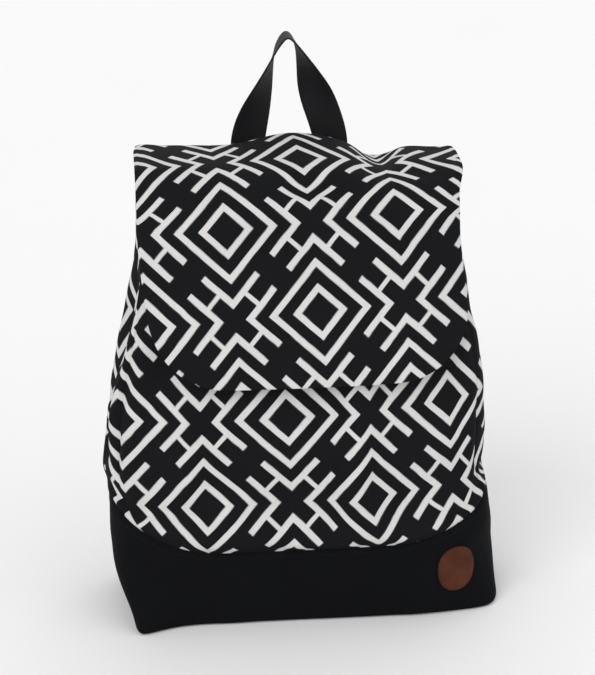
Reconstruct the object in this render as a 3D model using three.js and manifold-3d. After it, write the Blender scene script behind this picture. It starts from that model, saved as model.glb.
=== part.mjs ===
// A flap-top daypack: printed canvas body and flap, plain canvas base, webbing handle and shoulder
// straps with sliders and swivel snap hooks. It stands on its base.
// Millimetres, +Z up. X runs across the bag, its front faces -Y, and the origin is the middle of the base.
import * as THREE from "three";
import { mergeVertices } from "three/addons/utils/BufferGeometryUtils.js";
import Module from "manifold-3d";

const wasm = await Module();
wasm.setup();

// Bag body: half widths and front depths at the base, at the fullest height and at the mouth
const BASE_HALF_WIDTH = 157;
const BASE_FRONT = 66;
const BELLY_HALF_WIDTH = 158;
const BELLY_FRONT = 76;
const BELLY_HEIGHT = 130;
const MOUTH_HALF_WIDTH = 128;
const MOUTH_FRONT = 50;
const MOUTH_HEIGHT = 346;
const BACK_DEPTH = 60;
const BASE_ROUNDNESS = 4.5;
const FRONT_ROUNDNESS = 2.7;
const BACK_ROUNDNESS = 8;
const BAND_HEIGHT = 63;
const BAND_SIDE_RISE = 35;
const BAND_LEVEL_SHARE = 0.35;
const CANVAS_THICKNESS = 2;
const LINING_THICKNESS = 1.2;
const SEAM_GAP = 0.3;

// Share of each quarter of the outline that the front and back panels cover before the gussets begin
const FRONT_PANEL_SHARE = 0.8;
const BACK_PANEL_SHARE = 0.7;

// Flap
const FLAP_HALF_WIDTH = 127;
const FLAP_ROOT_HALF_WIDTH = 120;
const FLAP_THICKNESS = 2.4;
const FLAP_DROP = 142;
const FLAP_CORNER_RADIUS = 60;
const FLAP_BACK_RADIUS = 26;
const FLAP_FRONT_RADIUS = 44;
const FLAP_OVERHANG = 14;
const FLAP_SIDE_DROOP = 12;

// Magnetic snap between the flap and the front panel
const SNAP_RADIUS = 9;
const SNAP_THICKNESS = 2.2;
const SNAP_EDGE = 0.7;
const SNAP_STUD_RADIUS = 2.8;
const SNAP_STUD_HEIGHT = 1.2;
const SNAP_ABOVE_FLAP_EDGE = 34;

// Round leather patch on the right end of the base
const PATCH_RADIUS = 19;
const PATCH_THICKNESS = 1.8;
const PATCH_EDGE = 0.7;
const PATCH_HEIGHT = 38;
const PATCH_PLACE = 0.6;

// Webbing of the handle, the straps and the ring tabs
const WEBBING_WIDTH = 25;
const WEBBING_THICKNESS = 1.4;

// Carrying handle
const HANDLE_WIDTH = 28;
const HANDLE_HALF_SPAN = 33;
const HANDLE_HEIGHT = 84;
const HANDLE_TOP_RADIUS = 7;
const HANDLE_SEWN_LENGTH = 18;

// Shoulder straps: from below the mouth, slanting outwards to a ring on the base
const STRAP_BELOW_MOUTH = 24;
const STRAP_TOP_OFFSET = 36;
const STRAP_SEWN_LENGTH = 22;
const STRAP_STRAIGHT_LENGTH = 205;
const STRAP_BEND = 34;
const STRAP_LEAN_OUT = THREE.MathUtils.degToRad(7);

// Ring and its webbing tab
const RING_OFFSET = 106;
const RING_HEIGHT = 46;
const RING_STANDOFF = 9.5;
const RING_WIRE_RADIUS = 1.5;
const RING_DEPTH = 18;
const RING_CORNER_RADIUS = 2.5;
const TAB_LENGTH = 26;
const TAB_SEWN_LENGTH = 14;

// Swivel snap hook
const HOOK_WIRE_RADIUS = 1.6;
const HOOK_INNER_HALF_WIDTH = 6;
const HOOK_BEND_ABOVE_RING_BAR = 14.6;
const HOOK_TIP_LENGTH = 11;
const HOOK_LENGTH = 24;
const HOOK_HEAD_HEIGHT = 8;
const HOOK_HEAD_THICKNESS = 6;
const STEM_RADIUS = 2;
const STEM_HEAD_RADIUS = 3.2;
const STEM_HEAD_HEIGHT = 1.7;
const GATE_THICKNESS = 2.2;
const GATE_WIDTH = 2.2;
const GATE_PIVOT_RADIUS = 2;
const GATE_LAP = 2.5;
const GATE_THUMB_REACH = 3.5;
const GATE_PIN_RADIUS = 0.8;
const GATE_SWING_ROOM = 3;
const EYE_BAR = 3;
const EYE_WINDOW_HEIGHT = 12;
const EYE_BASE_HALF_WIDTH = 8;
const EYE_BOSS_RADIUS = 4.2;
const RUNNING_GAP = 0.3;

// Slider on the strap
const SLIDER_ABOVE_EYE = 74;
const SLIDER_HALF_LENGTH = 9;
const SLIDER_BAR = 2;
const SLIDER_RAIL = 2.2;
const SLIDER_PIN_RADIUS = 1.1;
const SLIDER_LOOP_LENGTH = 12;

const PRINT = { color: 0x3b3b3f, roughness: 0.85, metalness: 0 };
const CANVAS = { color: 0x131416, roughness: 0.9, metalness: 0 };
const LINING = { color: 0x1c1c1e, roughness: 0.9, metalness: 0 };
const WEBBING = { color: 0x101012, roughness: 0.8, metalness: 0 };
const LEATHER = { color: 0x7d3a1e, roughness: 0.6, metalness: 0 };
const NICKEL = { color: 0xc9c7c2, roughness: 0.25, metalness: 1 };

const bag = new THREE.Group();

function addPiece(parent, name, geometry, look) {
  const mesh = new THREE.Mesh(geometry, new THREE.MeshStandardMaterial(look));
  mesh.name = name;
  parent.add(mesh);
}

function addGroup(parent, position) {
  const group = new THREE.Group();
  group.position.copy(position);
  parent.add(group);
  return group;
}

const { lerp, clamp, smoothstep, euclideanModulo } = THREE.MathUtils;
const vec2 = (x, y) => new THREE.Vector2(x, y);
const vec3 = (x, y, z) => new THREE.Vector3(x, y, z);
const ACROSS = vec3(1, 0, 0);
const UP = vec3(0, 0, 1);

function spread(from, to, steps) {
  return Array.from({ length: steps + 1 }, (_, k) => lerp(from, to, k / steps));
}

// Closed solids from rows of points

function geometryFrom(points, triangles) {
  const geometry = new THREE.BufferGeometry().setFromPoints(points);
  geometry.setIndex(triangles);
  return geometry;
}

function surfaceNormal(surface, u, v) {
  const step = 4e-3;
  const along = surface(u + step, v).sub(surface(u - step, v));
  const up = surface(u, v + step).sub(surface(u, v - step));
  return along.cross(up).normalize();
}

function pointUnder(surface, u, v, depth) {
  return surface(u, v).addScaledVector(surfaceNormal(surface, u, v), -depth);
}

// A sheet of cloth: the surface is its outer face, and its thickness goes inwards.
function clothSheet(surface, uValues, vValues, thickness) {
  const outer = uValues.flatMap((u) => vValues.map((v) => surface(u, v)));
  const inner = uValues.flatMap((u) => vValues.map((v) => pointUnder(surface, u, v, thickness)));
  const rows = vValues.length;
  const at = (i, j) => i * rows + j;
  const under = outer.length;
  const triangles = [];
  const quad = (a, b, c, d) => triangles.push(a, b, c, a, c, d);
  for (let i = 0; i + 1 < uValues.length; i++) {
    for (let j = 0; j + 1 < rows; j++) {
      const [a, b, c, d] = [at(i, j), at(i + 1, j), at(i + 1, j + 1), at(i, j + 1)];
      quad(a, b, c, d);
      quad(under + a, under + d, under + c, under + b);
    }
    const [low, nextLow] = [at(i, 0), at(i + 1, 0)];
    const [high, nextHigh] = [at(i, rows - 1), at(i + 1, rows - 1)];
    quad(low, under + low, under + nextLow, nextLow);
    quad(high, nextHigh, under + nextHigh, under + high);
  }
  const lastColumn = uValues.length - 1;
  for (let j = 0; j + 1 < rows; j++) {
    const [near, nextNear] = [at(0, j), at(0, j + 1)];
    const [far, nextFar] = [at(lastColumn, j), at(lastColumn, j + 1)];
    quad(near, nextNear, under + nextNear, under + near);
    quad(far, under + far, under + nextFar, nextFar);
  }
  return geometryFrom([...outer, ...inner], triangles);
}

// A solid through closed rings of points, with a point that closes each end.
function loftSolid(rings, startPoint, endPoint) {
  const count = rings[0].length;
  const points = [startPoint, ...rings.flat(), endPoint];
  const last = points.length - 1;
  const at = (k, i) => 1 + k * count + (i % count);
  const triangles = [];
  for (let i = 0; i < count; i++) {
    triangles.push(0, at(0, i + 1), at(0, i));
    triangles.push(last, at(rings.length - 1, i), at(rings.length - 1, i + 1));
    for (let k = 0; k + 1 < rings.length; k++) {
      triangles.push(at(k, i), at(k, i + 1), at(k + 1, i + 1));
      triangles.push(at(k, i), at(k + 1, i + 1), at(k + 1, i));
    }
  }
  return geometryFrom(points, triangles);
}

// Webbing along a line of points. acrossAt gives the direction of its width at a share of the line.
function webbingAlong(points, acrossAt = () => ACROSS.clone(), width = WEBBING_WIDTH) {
  const last = points.length - 1;
  const rings = points.map((point, k) => {
    const before = points[Math.max(k - 1, 0)];
    const after = points[Math.min(k + 1, last)];
    const along = after.clone().sub(before).normalize();
    const across = acrossAt(k / last, along).normalize();
    const through = along.clone().cross(across);
    const corner = (w, t) =>
      point
        .clone()
        .addScaledVector(across, (w * width) / 2)
        .addScaledVector(through, (t * WEBBING_THICKNESS) / 2);
    return [corner(-1, -1), corner(1, -1), corner(1, 1), corner(-1, 1)];
  });
  return loftSolid(rings, points[0], points[last]);
}

// Joining and cutting

function solidOf(geometry) {
  const bare = geometry.clone();
  bare.deleteAttribute("normal");
  bare.deleteAttribute("uv");
  const merged = mergeVertices(bare, 1e-4);
  return new wasm.Manifold(
    new wasm.Mesh({
      numProp: 3,
      vertProperties: merged.attributes.position.array,
      triVerts: new Uint32Array(merged.index.array),
    }),
  );
}

function geometryOf(solid) {
  const mesh = solid.getMesh();
  const geometry = new THREE.BufferGeometry();
  geometry.setAttribute("position", new THREE.BufferAttribute(mesh.vertProperties, 3));
  geometry.setIndex(new THREE.BufferAttribute(mesh.triVerts, 1));
  return geometry;
}

function joined(geometries) {
  return geometries.map(solidOf).reduce((whole, solid) => whole.add(solid));
}

// An outline in Y and Z, extruded evenly to both sides along X.
function extrudeAcross(shape, width, curveSegments = 6) {
  const geometry = new THREE.ExtrudeGeometry(shape, { depth: width, bevelEnabled: false, curveSegments });
  const toSide = new THREE.Matrix4().makeBasis(vec3(0, 1, 0), vec3(0, 0, 1), vec3(1, 0, 0));
  return geometry.translate(0, 0, -width / 2).applyMatrix4(toSide);
}

// An outline in X and Z, extruded evenly to both sides along Y.
function extrudeThrough(shape, thickness, curveSegments = 6) {
  const geometry = new THREE.ExtrudeGeometry(shape, { depth: thickness, bevelEnabled: false, curveSegments });
  return geometry.translate(0, 0, -thickness / 2).rotateX(Math.PI / 2);
}

function cylinderAlong(axis, radius, length, centre, segments = 16) {
  const turn = new THREE.Quaternion().setFromUnitVectors(vec3(0, 1, 0), axis);
  const geometry = new THREE.CylinderGeometry(radius, radius, length, segments).applyQuaternion(turn);
  return geometry.translate(centre.x, centre.y, centre.z);
}

function boxAt(size, centre) {
  return new THREE.BoxGeometry(size.x, size.y, size.z).translate(centre.x, centre.y, centre.z);
}

function polygon(corners) {
  return new THREE.Shape(corners.map(([x, y]) => vec2(x, y)));
}

// Bag body
// Its outline at any height is two half ovals that share the bag's width: a round front and a boxy back.
// The front is squarer where it meets the bottom and round from the top of the base band upwards.
// A place on the outline is a number from 0 to 4: 0 front middle, 1 right side, 2 back middle, 3 left.

function between(base, belly, mouth, height) {
  const ease = (t) => (1 - Math.cos(Math.PI * clamp(t, 0, 1))) / 2;
  if (height < BELLY_HEIGHT) return lerp(base, belly, ease(height / BELLY_HEIGHT));
  return lerp(belly, mouth, ease((height - BELLY_HEIGHT) / (MOUTH_HEIGHT - BELLY_HEIGHT)));
}

const halfWidthAt = (height) => between(BASE_HALF_WIDTH, BELLY_HALF_WIDTH, MOUTH_HALF_WIDTH, height);
const frontDepthAt = (height) => between(BASE_FRONT, BELLY_FRONT, MOUTH_FRONT, height);
const bandTop = BAND_HEIGHT + BAND_SIDE_RISE;
const frontRoundnessAt = (height) => lerp(BASE_ROUNDNESS, FRONT_ROUNDNESS, clamp(height / bandTop, 0, 1));

// Quarter of an oval, from its middle to its side, as a function of the share of its length.
function quarterOval(halfWidth, depth, roundness) {
  const samples = 240;
  const power = 2 / roundness;
  const curve = spread(0, Math.PI / 2, samples).map((angle) =>
    vec2(halfWidth * Math.sin(angle) ** power, depth * Math.max(Math.cos(angle), 0) ** power),
  );
  const lengths = [0];
  for (let k = 1; k <= samples; k++) lengths.push(lengths[k - 1] + curve[k].distanceTo(curve[k - 1]));
  return (share) => {
    const wanted = clamp(share, 0, 1) * lengths[samples];
    let k = 1;
    while (k < samples && lengths[k] < wanted) k++;
    return curve[k - 1].clone().lerp(curve[k], (wanted - lengths[k - 1]) / (lengths[k] - lengths[k - 1]));
  };
}

const outlines = new Map();

function outlineAt(height) {
  if (!outlines.has(height)) {
    const halfWidth = halfWidthAt(height);
    outlines.set(height, {
      front: quarterOval(halfWidth, frontDepthAt(height), frontRoundnessAt(height)),
      back: quarterOval(halfWidth, BACK_DEPTH, BACK_ROUNDNESS),
    });
  }
  return outlines.get(height);
}

function bagSurface(place, height) {
  const around = euclideanModulo(place, 4);
  const onBack = around > 1 && around < 3;
  const share = onBack ? Math.abs(2 - around) : Math.min(around, 4 - around);
  const quarter = onBack ? outlineAt(height).back(share) : outlineAt(height).front(share);
  return vec3(around < 2 ? quarter.x : -quarter.x, onBack ? quarter.y : -quarter.y, height);
}

// Millimetres of outline for one unit of place
function outlineLength(place, height) {
  const step = 0.01;
  return bagSurface(place + step, height).distanceTo(bagSurface(place - step, height)) / (2 * step);
}

const frontSeam = FRONT_PANEL_SHARE;
const backSeam = 2 - BACK_PANEL_SHARE;
const baseTop = CANVAS_THICKNESS + SEAM_GAP;
const bandHeights = spread(baseTop, BAND_HEIGHT - SEAM_GAP / 2, 3);
const upperHeights = spread(BAND_HEIGHT + SEAM_GAP / 2, MOUTH_HEIGHT, 9);
const frontPlaces = spread(-frontSeam, frontSeam, 16);
const rightPlaces = spread(frontSeam, backSeam, 7);
const backPlaces = spread(backSeam, 4 - backSeam, 8);
const leftPlaces = spread(4 - backSeam, 4 - frontSeam, 7);
const leftToFront = leftPlaces.map((place) => place - 4);
const bandPlaces = [...leftToFront, ...frontPlaces.slice(1), ...rightPlaces.slice(1)];

// The band's upper seam is level across the front and climbs to the sides and the back. The cut pieces are
// measured as if it were level, and this puts them at their sewn height.
function sewnHeight(place, height) {
  const around = euclideanModulo(place, 4);
  const fromFront = Math.min(around, 4 - around);
  const seam = BAND_HEIGHT + BAND_SIDE_RISE * smoothstep(fromFront, BAND_LEVEL_SHARE, 1);
  if (height < BAND_HEIGHT) return lerp(baseTop, seam, (height - baseTop) / (BAND_HEIGHT - baseTop));
  return lerp(seam, MOUTH_HEIGHT, (height - BAND_HEIGHT) / (MOUTH_HEIGHT - BAND_HEIGHT));
}

const sewnSurface = (place, height) => bagSurface(place, sewnHeight(place, height));

// A panel between two seams. The two panels that meet at a seam share its gap.
function bagPanel(places, heights) {
  const middle = (heights[0] + heights[heights.length - 1]) / 2;
  const halfGap = (place) => SEAM_GAP / 2 / outlineLength(place, middle);
  const first = places[0] + halfGap(places[0]);
  const last = places[places.length - 1] - halfGap(places[places.length - 1]);
  return clothSheet(sewnSurface, [first, ...places.slice(1, -1), last], heights, CANVAS_THICKNESS);
}

addPiece(bag, "front_panel", bagPanel(frontPlaces, upperHeights), PRINT);
addPiece(bag, "right_gusset", bagPanel(rightPlaces, upperHeights), PRINT);
addPiece(bag, "back_panel", bagPanel(backPlaces, upperHeights), PRINT);
addPiece(bag, "left_gusset", bagPanel(leftPlaces, upperHeights), PRINT);
addPiece(bag, "base_front", bagPanel(bandPlaces, bandHeights), CANVAS);
addPiece(bag, "base_back", bagPanel(backPlaces, bandHeights), CANVAS);

const roundPlaces = [...bandPlaces.slice(0, -1), ...backPlaces.slice(0, -1)];

function bagRing(height, depth) {
  return roundPlaces.map((place) => pointUnder(bagSurface, place, height, depth).setZ(height));
}

function baseBottom() {
  const rings = [bagRing(0, 0), bagRing(CANVAS_THICKNESS, 0)];
  return loftSolid(rings, vec3(0, 0, 0), vec3(0, 0, CANVAS_THICKNESS));
}
addPiece(bag, "base_bottom", baseBottom(), CANVAS);

// The lining is a bag of its own, sewn in at the mouth.
function liningBag() {
  const outside = CANVAS_THICKNESS + SEAM_GAP;
  const floor = baseTop + LINING_THICKNESS;
  const heights = [...bandHeights, ...upperHeights.slice(1)];
  const under = (place, height, depth) => pointUnder(sewnSurface, place, height, depth);
  const wall = (height, depth) => roundPlaces.map((place) => under(place, height, depth));
  const outer = heights.map((height) => wall(height, outside));
  const inner = heights.slice(1).map((height) => wall(height, outside + LINING_THICKNESS));
  const rings = [...outer, ...inner.reverse(), wall(floor, outside + LINING_THICKNESS)];
  return loftSolid(rings, vec3(0, 0, baseTop), vec3(0, 0, floor));
}
addPiece(bag, "lining", liningBag(), LINING);

// Flap
// Its middle line starts at the lower front edge, climbs the front, crosses the mouth and ends at the top
// edge of the back panel. Its sides fall away from that line, and its lower corners are round.

const flapLowerEdge = MOUTH_HEIGHT - FLAP_DROP;
const flapTop = MOUTH_HEIGHT + SEAM_GAP + FLAP_BACK_RADIUS;
const flapClearance = 2 * SNAP_THICKNESS + 3 * SEAM_GAP;
const flapFrontAt = (height) => -(frontDepthAt(height) + flapClearance + FLAP_THICKNESS);

function flapMiddleLine() {
  const bend = flapTop - FLAP_FRONT_RADIUS;
  const front = spread(flapLowerEdge, bend, 8).map((height) => vec2(flapFrontAt(height), height));
  const arc = (centreY, centreZ, radius, from, to) =>
    spread(from, to, 6).map((angle) => vec2(centreY + radius * Math.cos(angle), centreZ + radius * Math.sin(angle)));
  const overFront = arc(flapFrontAt(bend) + FLAP_FRONT_RADIUS, bend, FLAP_FRONT_RADIUS, Math.PI, Math.PI / 2);
  const overBack = arc(BACK_DEPTH - FLAP_BACK_RADIUS, flapTop - FLAP_BACK_RADIUS, FLAP_BACK_RADIUS, Math.PI / 2, 0);
  return new THREE.SplineCurve([...front, ...overFront.slice(1), ...overBack]);
}

const flapLine = flapMiddleLine();
const flapLength = flapLine.getLength();

function flapHalfWidth(share) {
  const fromRoot = (1 - share) * flapLength;
  const full = lerp(FLAP_ROOT_HALF_WIDTH, FLAP_HALF_WIDTH, smoothstep(fromRoot, 0, FLAP_BACK_RADIUS * 2));
  const intoCorner = clamp(FLAP_CORNER_RADIUS - share * flapLength, 0, FLAP_CORNER_RADIUS);
  return full - FLAP_CORNER_RADIUS + Math.sqrt(FLAP_CORNER_RADIUS ** 2 - intoCorner ** 2);
}

function flapSurface(across, share) {
  const along = flapLine.getTangentAt(clamp(share, 0, 1));
  const middle = flapLine.getPointAt(clamp(share, 0, 1));
  const x = across * flapHalfWidth(clamp(share, 0, 1));
  const reach = Math.max(halfWidthAt(middle.y), FLAP_HALF_WIDTH) + FLAP_OVERHANG;
  const roundOff = 1 - (1 - Math.abs(x / reach) ** FRONT_ROUNDNESS) ** (1 / FRONT_ROUNDNESS);
  const onFront = clamp(along.y, 0, 1);
  const towardsRoot = clamp(-along.y, 0, 1);
  const fall = lerp(FLAP_SIDE_DROOP, frontDepthAt(middle.y), onFront) * (1 - towardsRoot) * roundOff;
  return vec3(x, middle.x + along.y * fall, middle.y - along.x * fall);
}

function flapSheet() {
  const cornerShare = FLAP_CORNER_RADIUS / flapLength;
  const corner = spread(0, Math.PI / 2, 5).map((angle) => cornerShare * (1 - Math.cos(angle)));
  const rest = spread(cornerShare, 1, 14).slice(1);
  return clothSheet(flapSurface, spread(-1, 1, 16), [...corner, ...rest], FLAP_THICKNESS);
}
addPiece(bag, "flap", flapSheet(), PRINT);

// Magnetic snap: a socket on the front panel and a stud under the flap

function snapGroup() {
  const height = flapLowerEdge + SNAP_ABOVE_FLAP_EDGE;
  const outwards = surfaceNormal(bagSurface, 0, height);
  const group = addGroup(bag, bagSurface(0, height).addScaledVector(outwards, SEAM_GAP));
  group.quaternion.setFromUnitVectors(vec3(0, 1, 0), outwards);
  return group;
}

function turned(profile) {
  return new THREE.LatheGeometry(profile.map(([radius, height]) => vec2(radius, height)), 20);
}

function snapSocket() {
  const hole = SNAP_STUD_RADIUS + RUNNING_GAP;
  const floor = SNAP_THICKNESS - SNAP_STUD_HEIGHT;
  return turned([
    [0, 0],
    [SNAP_RADIUS, 0],
    [SNAP_RADIUS, SNAP_THICKNESS - SNAP_EDGE],
    [SNAP_RADIUS - SNAP_EDGE, SNAP_THICKNESS],
    [hole, SNAP_THICKNESS],
    [hole, floor],
    [0, floor],
  ]);
}

function snapStud() {
  const face = SNAP_THICKNESS + SEAM_GAP;
  const tip = face - SNAP_STUD_HEIGHT;
  return turned([
    [0, tip],
    [SNAP_STUD_RADIUS, tip],
    [SNAP_STUD_RADIUS, face],
    [SNAP_RADIUS - SNAP_EDGE, face],
    [SNAP_RADIUS, face + SNAP_EDGE],
    [SNAP_RADIUS, face + SNAP_THICKNESS],
    [0, face + SNAP_THICKNESS],
  ]);
}

const snap = snapGroup();
addPiece(snap, "front_snap", snapSocket(), NICKEL);
addPiece(snap, "flap_snap", snapStud(), NICKEL);

// Leather patch, curved with the rounded end of the base

function leatherPatch() {
  const perPlace = outlineLength(PATCH_PLACE, PATCH_HEIGHT);
  const lifted = (x, y, lift) => pointUnder(bagSurface, PATCH_PLACE + x / perPlace, PATCH_HEIGHT + y, -lift);
  const ring = (radius, lift) =>
    spread(0, 2 * Math.PI, 32)
      .slice(0, -1)
      .map((angle) => lifted(radius * Math.cos(angle), radius * Math.sin(angle), lift));
  const top = SEAM_GAP + PATCH_THICKNESS;
  const inwards = [PATCH_RADIUS / 3, (PATCH_RADIUS * 2) / 3];
  const rings = [
    ...inwards.map((radius) => ring(radius, SEAM_GAP)),
    ring(PATCH_RADIUS, SEAM_GAP),
    ring(PATCH_RADIUS, top - PATCH_EDGE),
    ring(PATCH_RADIUS - PATCH_EDGE, top),
    ...inwards.reverse().map((radius) => ring(radius, top)),
  ];
  return loftSolid(rings, lifted(0, 0, SEAM_GAP), lifted(0, 0, top));
}
addPiece(bag, "leather_patch", leatherPatch(), LEATHER);

// Handle: sewn flat on the back panel, and turned edge-on to the front at the top of its loop

function handleLoop() {
  const back = BACK_DEPTH + SEAM_GAP + WEBBING_THICKNESS / 2;
  const top = flapTop + HANDLE_HEIGHT;
  const rightLeg = [
    [HANDLE_HALF_SPAN, MOUTH_HEIGHT - HANDLE_SEWN_LENGTH],
    [HANDLE_HALF_SPAN, MOUTH_HEIGHT],
    [HANDLE_HALF_SPAN, flapTop],
    [lerp(HANDLE_HALF_SPAN, HANDLE_TOP_RADIUS, 0.5), lerp(flapTop, top, 0.5)],
    [HANDLE_TOP_RADIUS, top - HANDLE_TOP_RADIUS],
  ].map(([x, z]) => vec3(x, back, z));
  const leftLeg = rightLeg.map((point) => vec3(-point.x, point.y, point.z)).reverse();
  const line = new THREE.CatmullRomCurve3([...rightLeg, vec3(0, back, top), ...leftLeg], false, "centripetal");
  const twistStart = flapTop - MOUTH_HEIGHT + HANDLE_SEWN_LENGTH;
  const halfLength = line.getLength() / 2;
  const acrossAt = (share, along) => {
    const climb = (1 - Math.abs(2 * share - 1)) * halfLength;
    const turn = smoothstep(climb, twistStart, halfLength) * (Math.PI / 2);
    const sideways = along.clone().cross(vec3(0, 1, 0));
    return sideways.multiplyScalar(Math.cos(turn)).add(vec3(0, Math.sin(turn), 0));
  };
  return webbingAlong(line.getSpacedPoints(48), acrossAt, HANDLE_WIDTH);
}
addPiece(bag, "handle", handleLoop(), WEBBING);

// Shoulder straps
// Each strap has a frame whose origin is on the back panel behind its ring, with Z along the strap and Y
// away from the back. The hardware sits in a second frame at the ring's bar, leaning away from the back.

const strapTop = vec2(STRAP_TOP_OFFSET, MOUTH_HEIGHT - STRAP_BELOW_MOUTH);
const strapFoot = vec2(RING_OFFSET, RING_HEIGHT);
const strapLength = strapTop.distanceTo(strapFoot);
const strapSlant = Math.atan2(strapFoot.x - strapTop.x, strapTop.y - strapFoot.y);

const loopInner = RING_WIRE_RADIUS + RUNNING_GAP;
const hookPitch = HOOK_INNER_HALF_WIDTH + HOOK_WIRE_RADIUS;
const hookTop = HOOK_BEND_ABOVE_RING_BAR + HOOK_LENGTH;
const stemFoot = hookTop + HOOK_HEAD_HEIGHT;
const eyeBase = stemFoot + RUNNING_GAP;
const eyeWindow = eyeBase + EYE_BAR;
const eyeBar = eyeWindow + EYE_WINDOW_HEIGHT + EYE_BAR / 2;
const innerHalfWidth = WEBBING_WIDTH / 2 + RUNNING_GAP;
const wrapRadius = EYE_BAR * Math.SQRT1_2 + RUNNING_GAP + WEBBING_THICKNESS / 2;
const wrapSeam = SEAM_GAP / wrapRadius;
const sliderHeight = eyeBar + SLIDER_ABOVE_EYE;
const sliderLoopRadius = SLIDER_PIN_RADIUS + RUNNING_GAP + WEBBING_THICKNESS / 2;
const layerPitch = WEBBING_THICKNESS + RUNNING_GAP;
const sliderPin = wrapRadius - layerPitch - sliderLoopRadius;
const sliderFace = wrapRadius + WEBBING_THICKNESS / 2 + RUNNING_GAP;

function ringShape() {
  const halfWidth = innerHalfWidth + RING_WIRE_RADIUS;
  const corner = RING_CORNER_RADIUS;
  const bow = RING_DEPTH - halfWidth;
  const shape = new THREE.Shape();
  shape.moveTo(-halfWidth + corner, 0);
  shape.lineTo(halfWidth - corner, 0);
  shape.absarc(halfWidth - corner, corner, corner, -Math.PI / 2, 0);
  shape.lineTo(halfWidth, bow);
  shape.absarc(0, bow, halfWidth, 0, Math.PI);
  shape.lineTo(-halfWidth, corner);
  shape.absarc(-halfWidth + corner, corner, corner, Math.PI, Math.PI * 1.5);
  const points = shape.getSpacedPoints(40).slice(0, -1);
  const line = new THREE.CatmullRomCurve3(points.map((p) => vec3(p.x, 0, p.y)), true);
  return new THREE.TubeGeometry(line, 32, RING_WIRE_RADIUS, 7, true);
}

// Webbing folded round the ring's bar, its two ends sewn one on the other to the back of the base
function ringTab() {
  const fold = WEBBING_THICKNESS;
  const bar = vec2(RING_STANDOFF, 0);
  const sewnTop = vec2(SEAM_GAP + fold, TAB_SEWN_LENGTH - TAB_LENGTH);
  const side = bar.clone().sub(sewnTop).normalize().rotateAround(vec2(0, 0), -Math.PI / 2).multiplyScalar(fold);
  const layers = polygon([
    [SEAM_GAP, -TAB_LENGTH],
    [SEAM_GAP + 2 * fold, -TAB_LENGTH],
    [sewnTop.x + fold, sewnTop.y],
    [bar.x + side.x, bar.y + side.y],
    [bar.x - side.x, bar.y - side.y],
    [SEAM_GAP, sewnTop.y],
  ]);
  const barCentre = vec3(0, bar.x, bar.y);
  const loop = cylinderAlong(ACROSS, loopInner + fold, WEBBING_WIDTH, barCentre);
  const hole = cylinderAlong(ACROSS, loopInner, 2 * WEBBING_WIDTH, barCentre);
  return geometryOf(joined([extrudeAcross(layers, WEBBING_WIDTH), loop]).subtract(solidOf(hole)));
}

// Hook: a bent wire, a head that holds the gate, and a stem that turns in the eye

const gateOuter = HOOK_INNER_HALF_WIDTH - RUNNING_GAP;
const gatePivot = vec2(gateOuter - GATE_THICKNESS / 2, hookTop);
const hookTip = HOOK_BEND_ABOVE_RING_BAR + HOOK_TIP_LENGTH;

function hookWire() {
  const path = new THREE.Path();
  path.moveTo(-hookPitch, hookTop + HOOK_WIRE_RADIUS);
  path.lineTo(-hookPitch, HOOK_BEND_ABOVE_RING_BAR);
  path.absarc(0, HOOK_BEND_ABOVE_RING_BAR, hookPitch, Math.PI, 2 * Math.PI);
  path.lineTo(hookPitch, hookTip);
  const points = path.getSpacedPoints(26).map((p) => vec3(0, p.x, p.y));
  const section = new THREE.Shape().absarc(0, 0, HOOK_WIRE_RADIUS, 0, 2 * Math.PI);
  const extrudePath = new THREE.CatmullRomCurve3(points);
  return new THREE.ExtrudeGeometry(section, { extrudePath, steps: 24, curveSegments: 4 });
}

function hookHead() {
  const outer = hookPitch + HOOK_WIRE_RADIUS;
  const low = hookTop - GATE_PIVOT_RADIUS - HOOK_WIRE_RADIUS;
  const shape = new THREE.Shape();
  shape.moveTo(-outer, low);
  shape.lineTo(-HOOK_INNER_HALF_WIDTH, low);
  shape.quadraticCurveTo(-HOOK_INNER_HALF_WIDTH, hookTop, 0, hookTop);
  shape.lineTo(gatePivot.x - GATE_PIVOT_RADIUS, low);
  shape.lineTo(gatePivot.x + GATE_PIVOT_RADIUS, low);
  shape.quadraticCurveTo(outer, hookTop, STEM_HEAD_RADIUS, stemFoot);
  shape.lineTo(-STEM_HEAD_RADIUS, stemFoot);
  shape.quadraticCurveTo(-outer, hookTop + HOOK_HEAD_HEIGHT / 2, -outer, low);
  return extrudeAcross(shape, HOOK_HEAD_THICKNESS);
}

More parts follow.
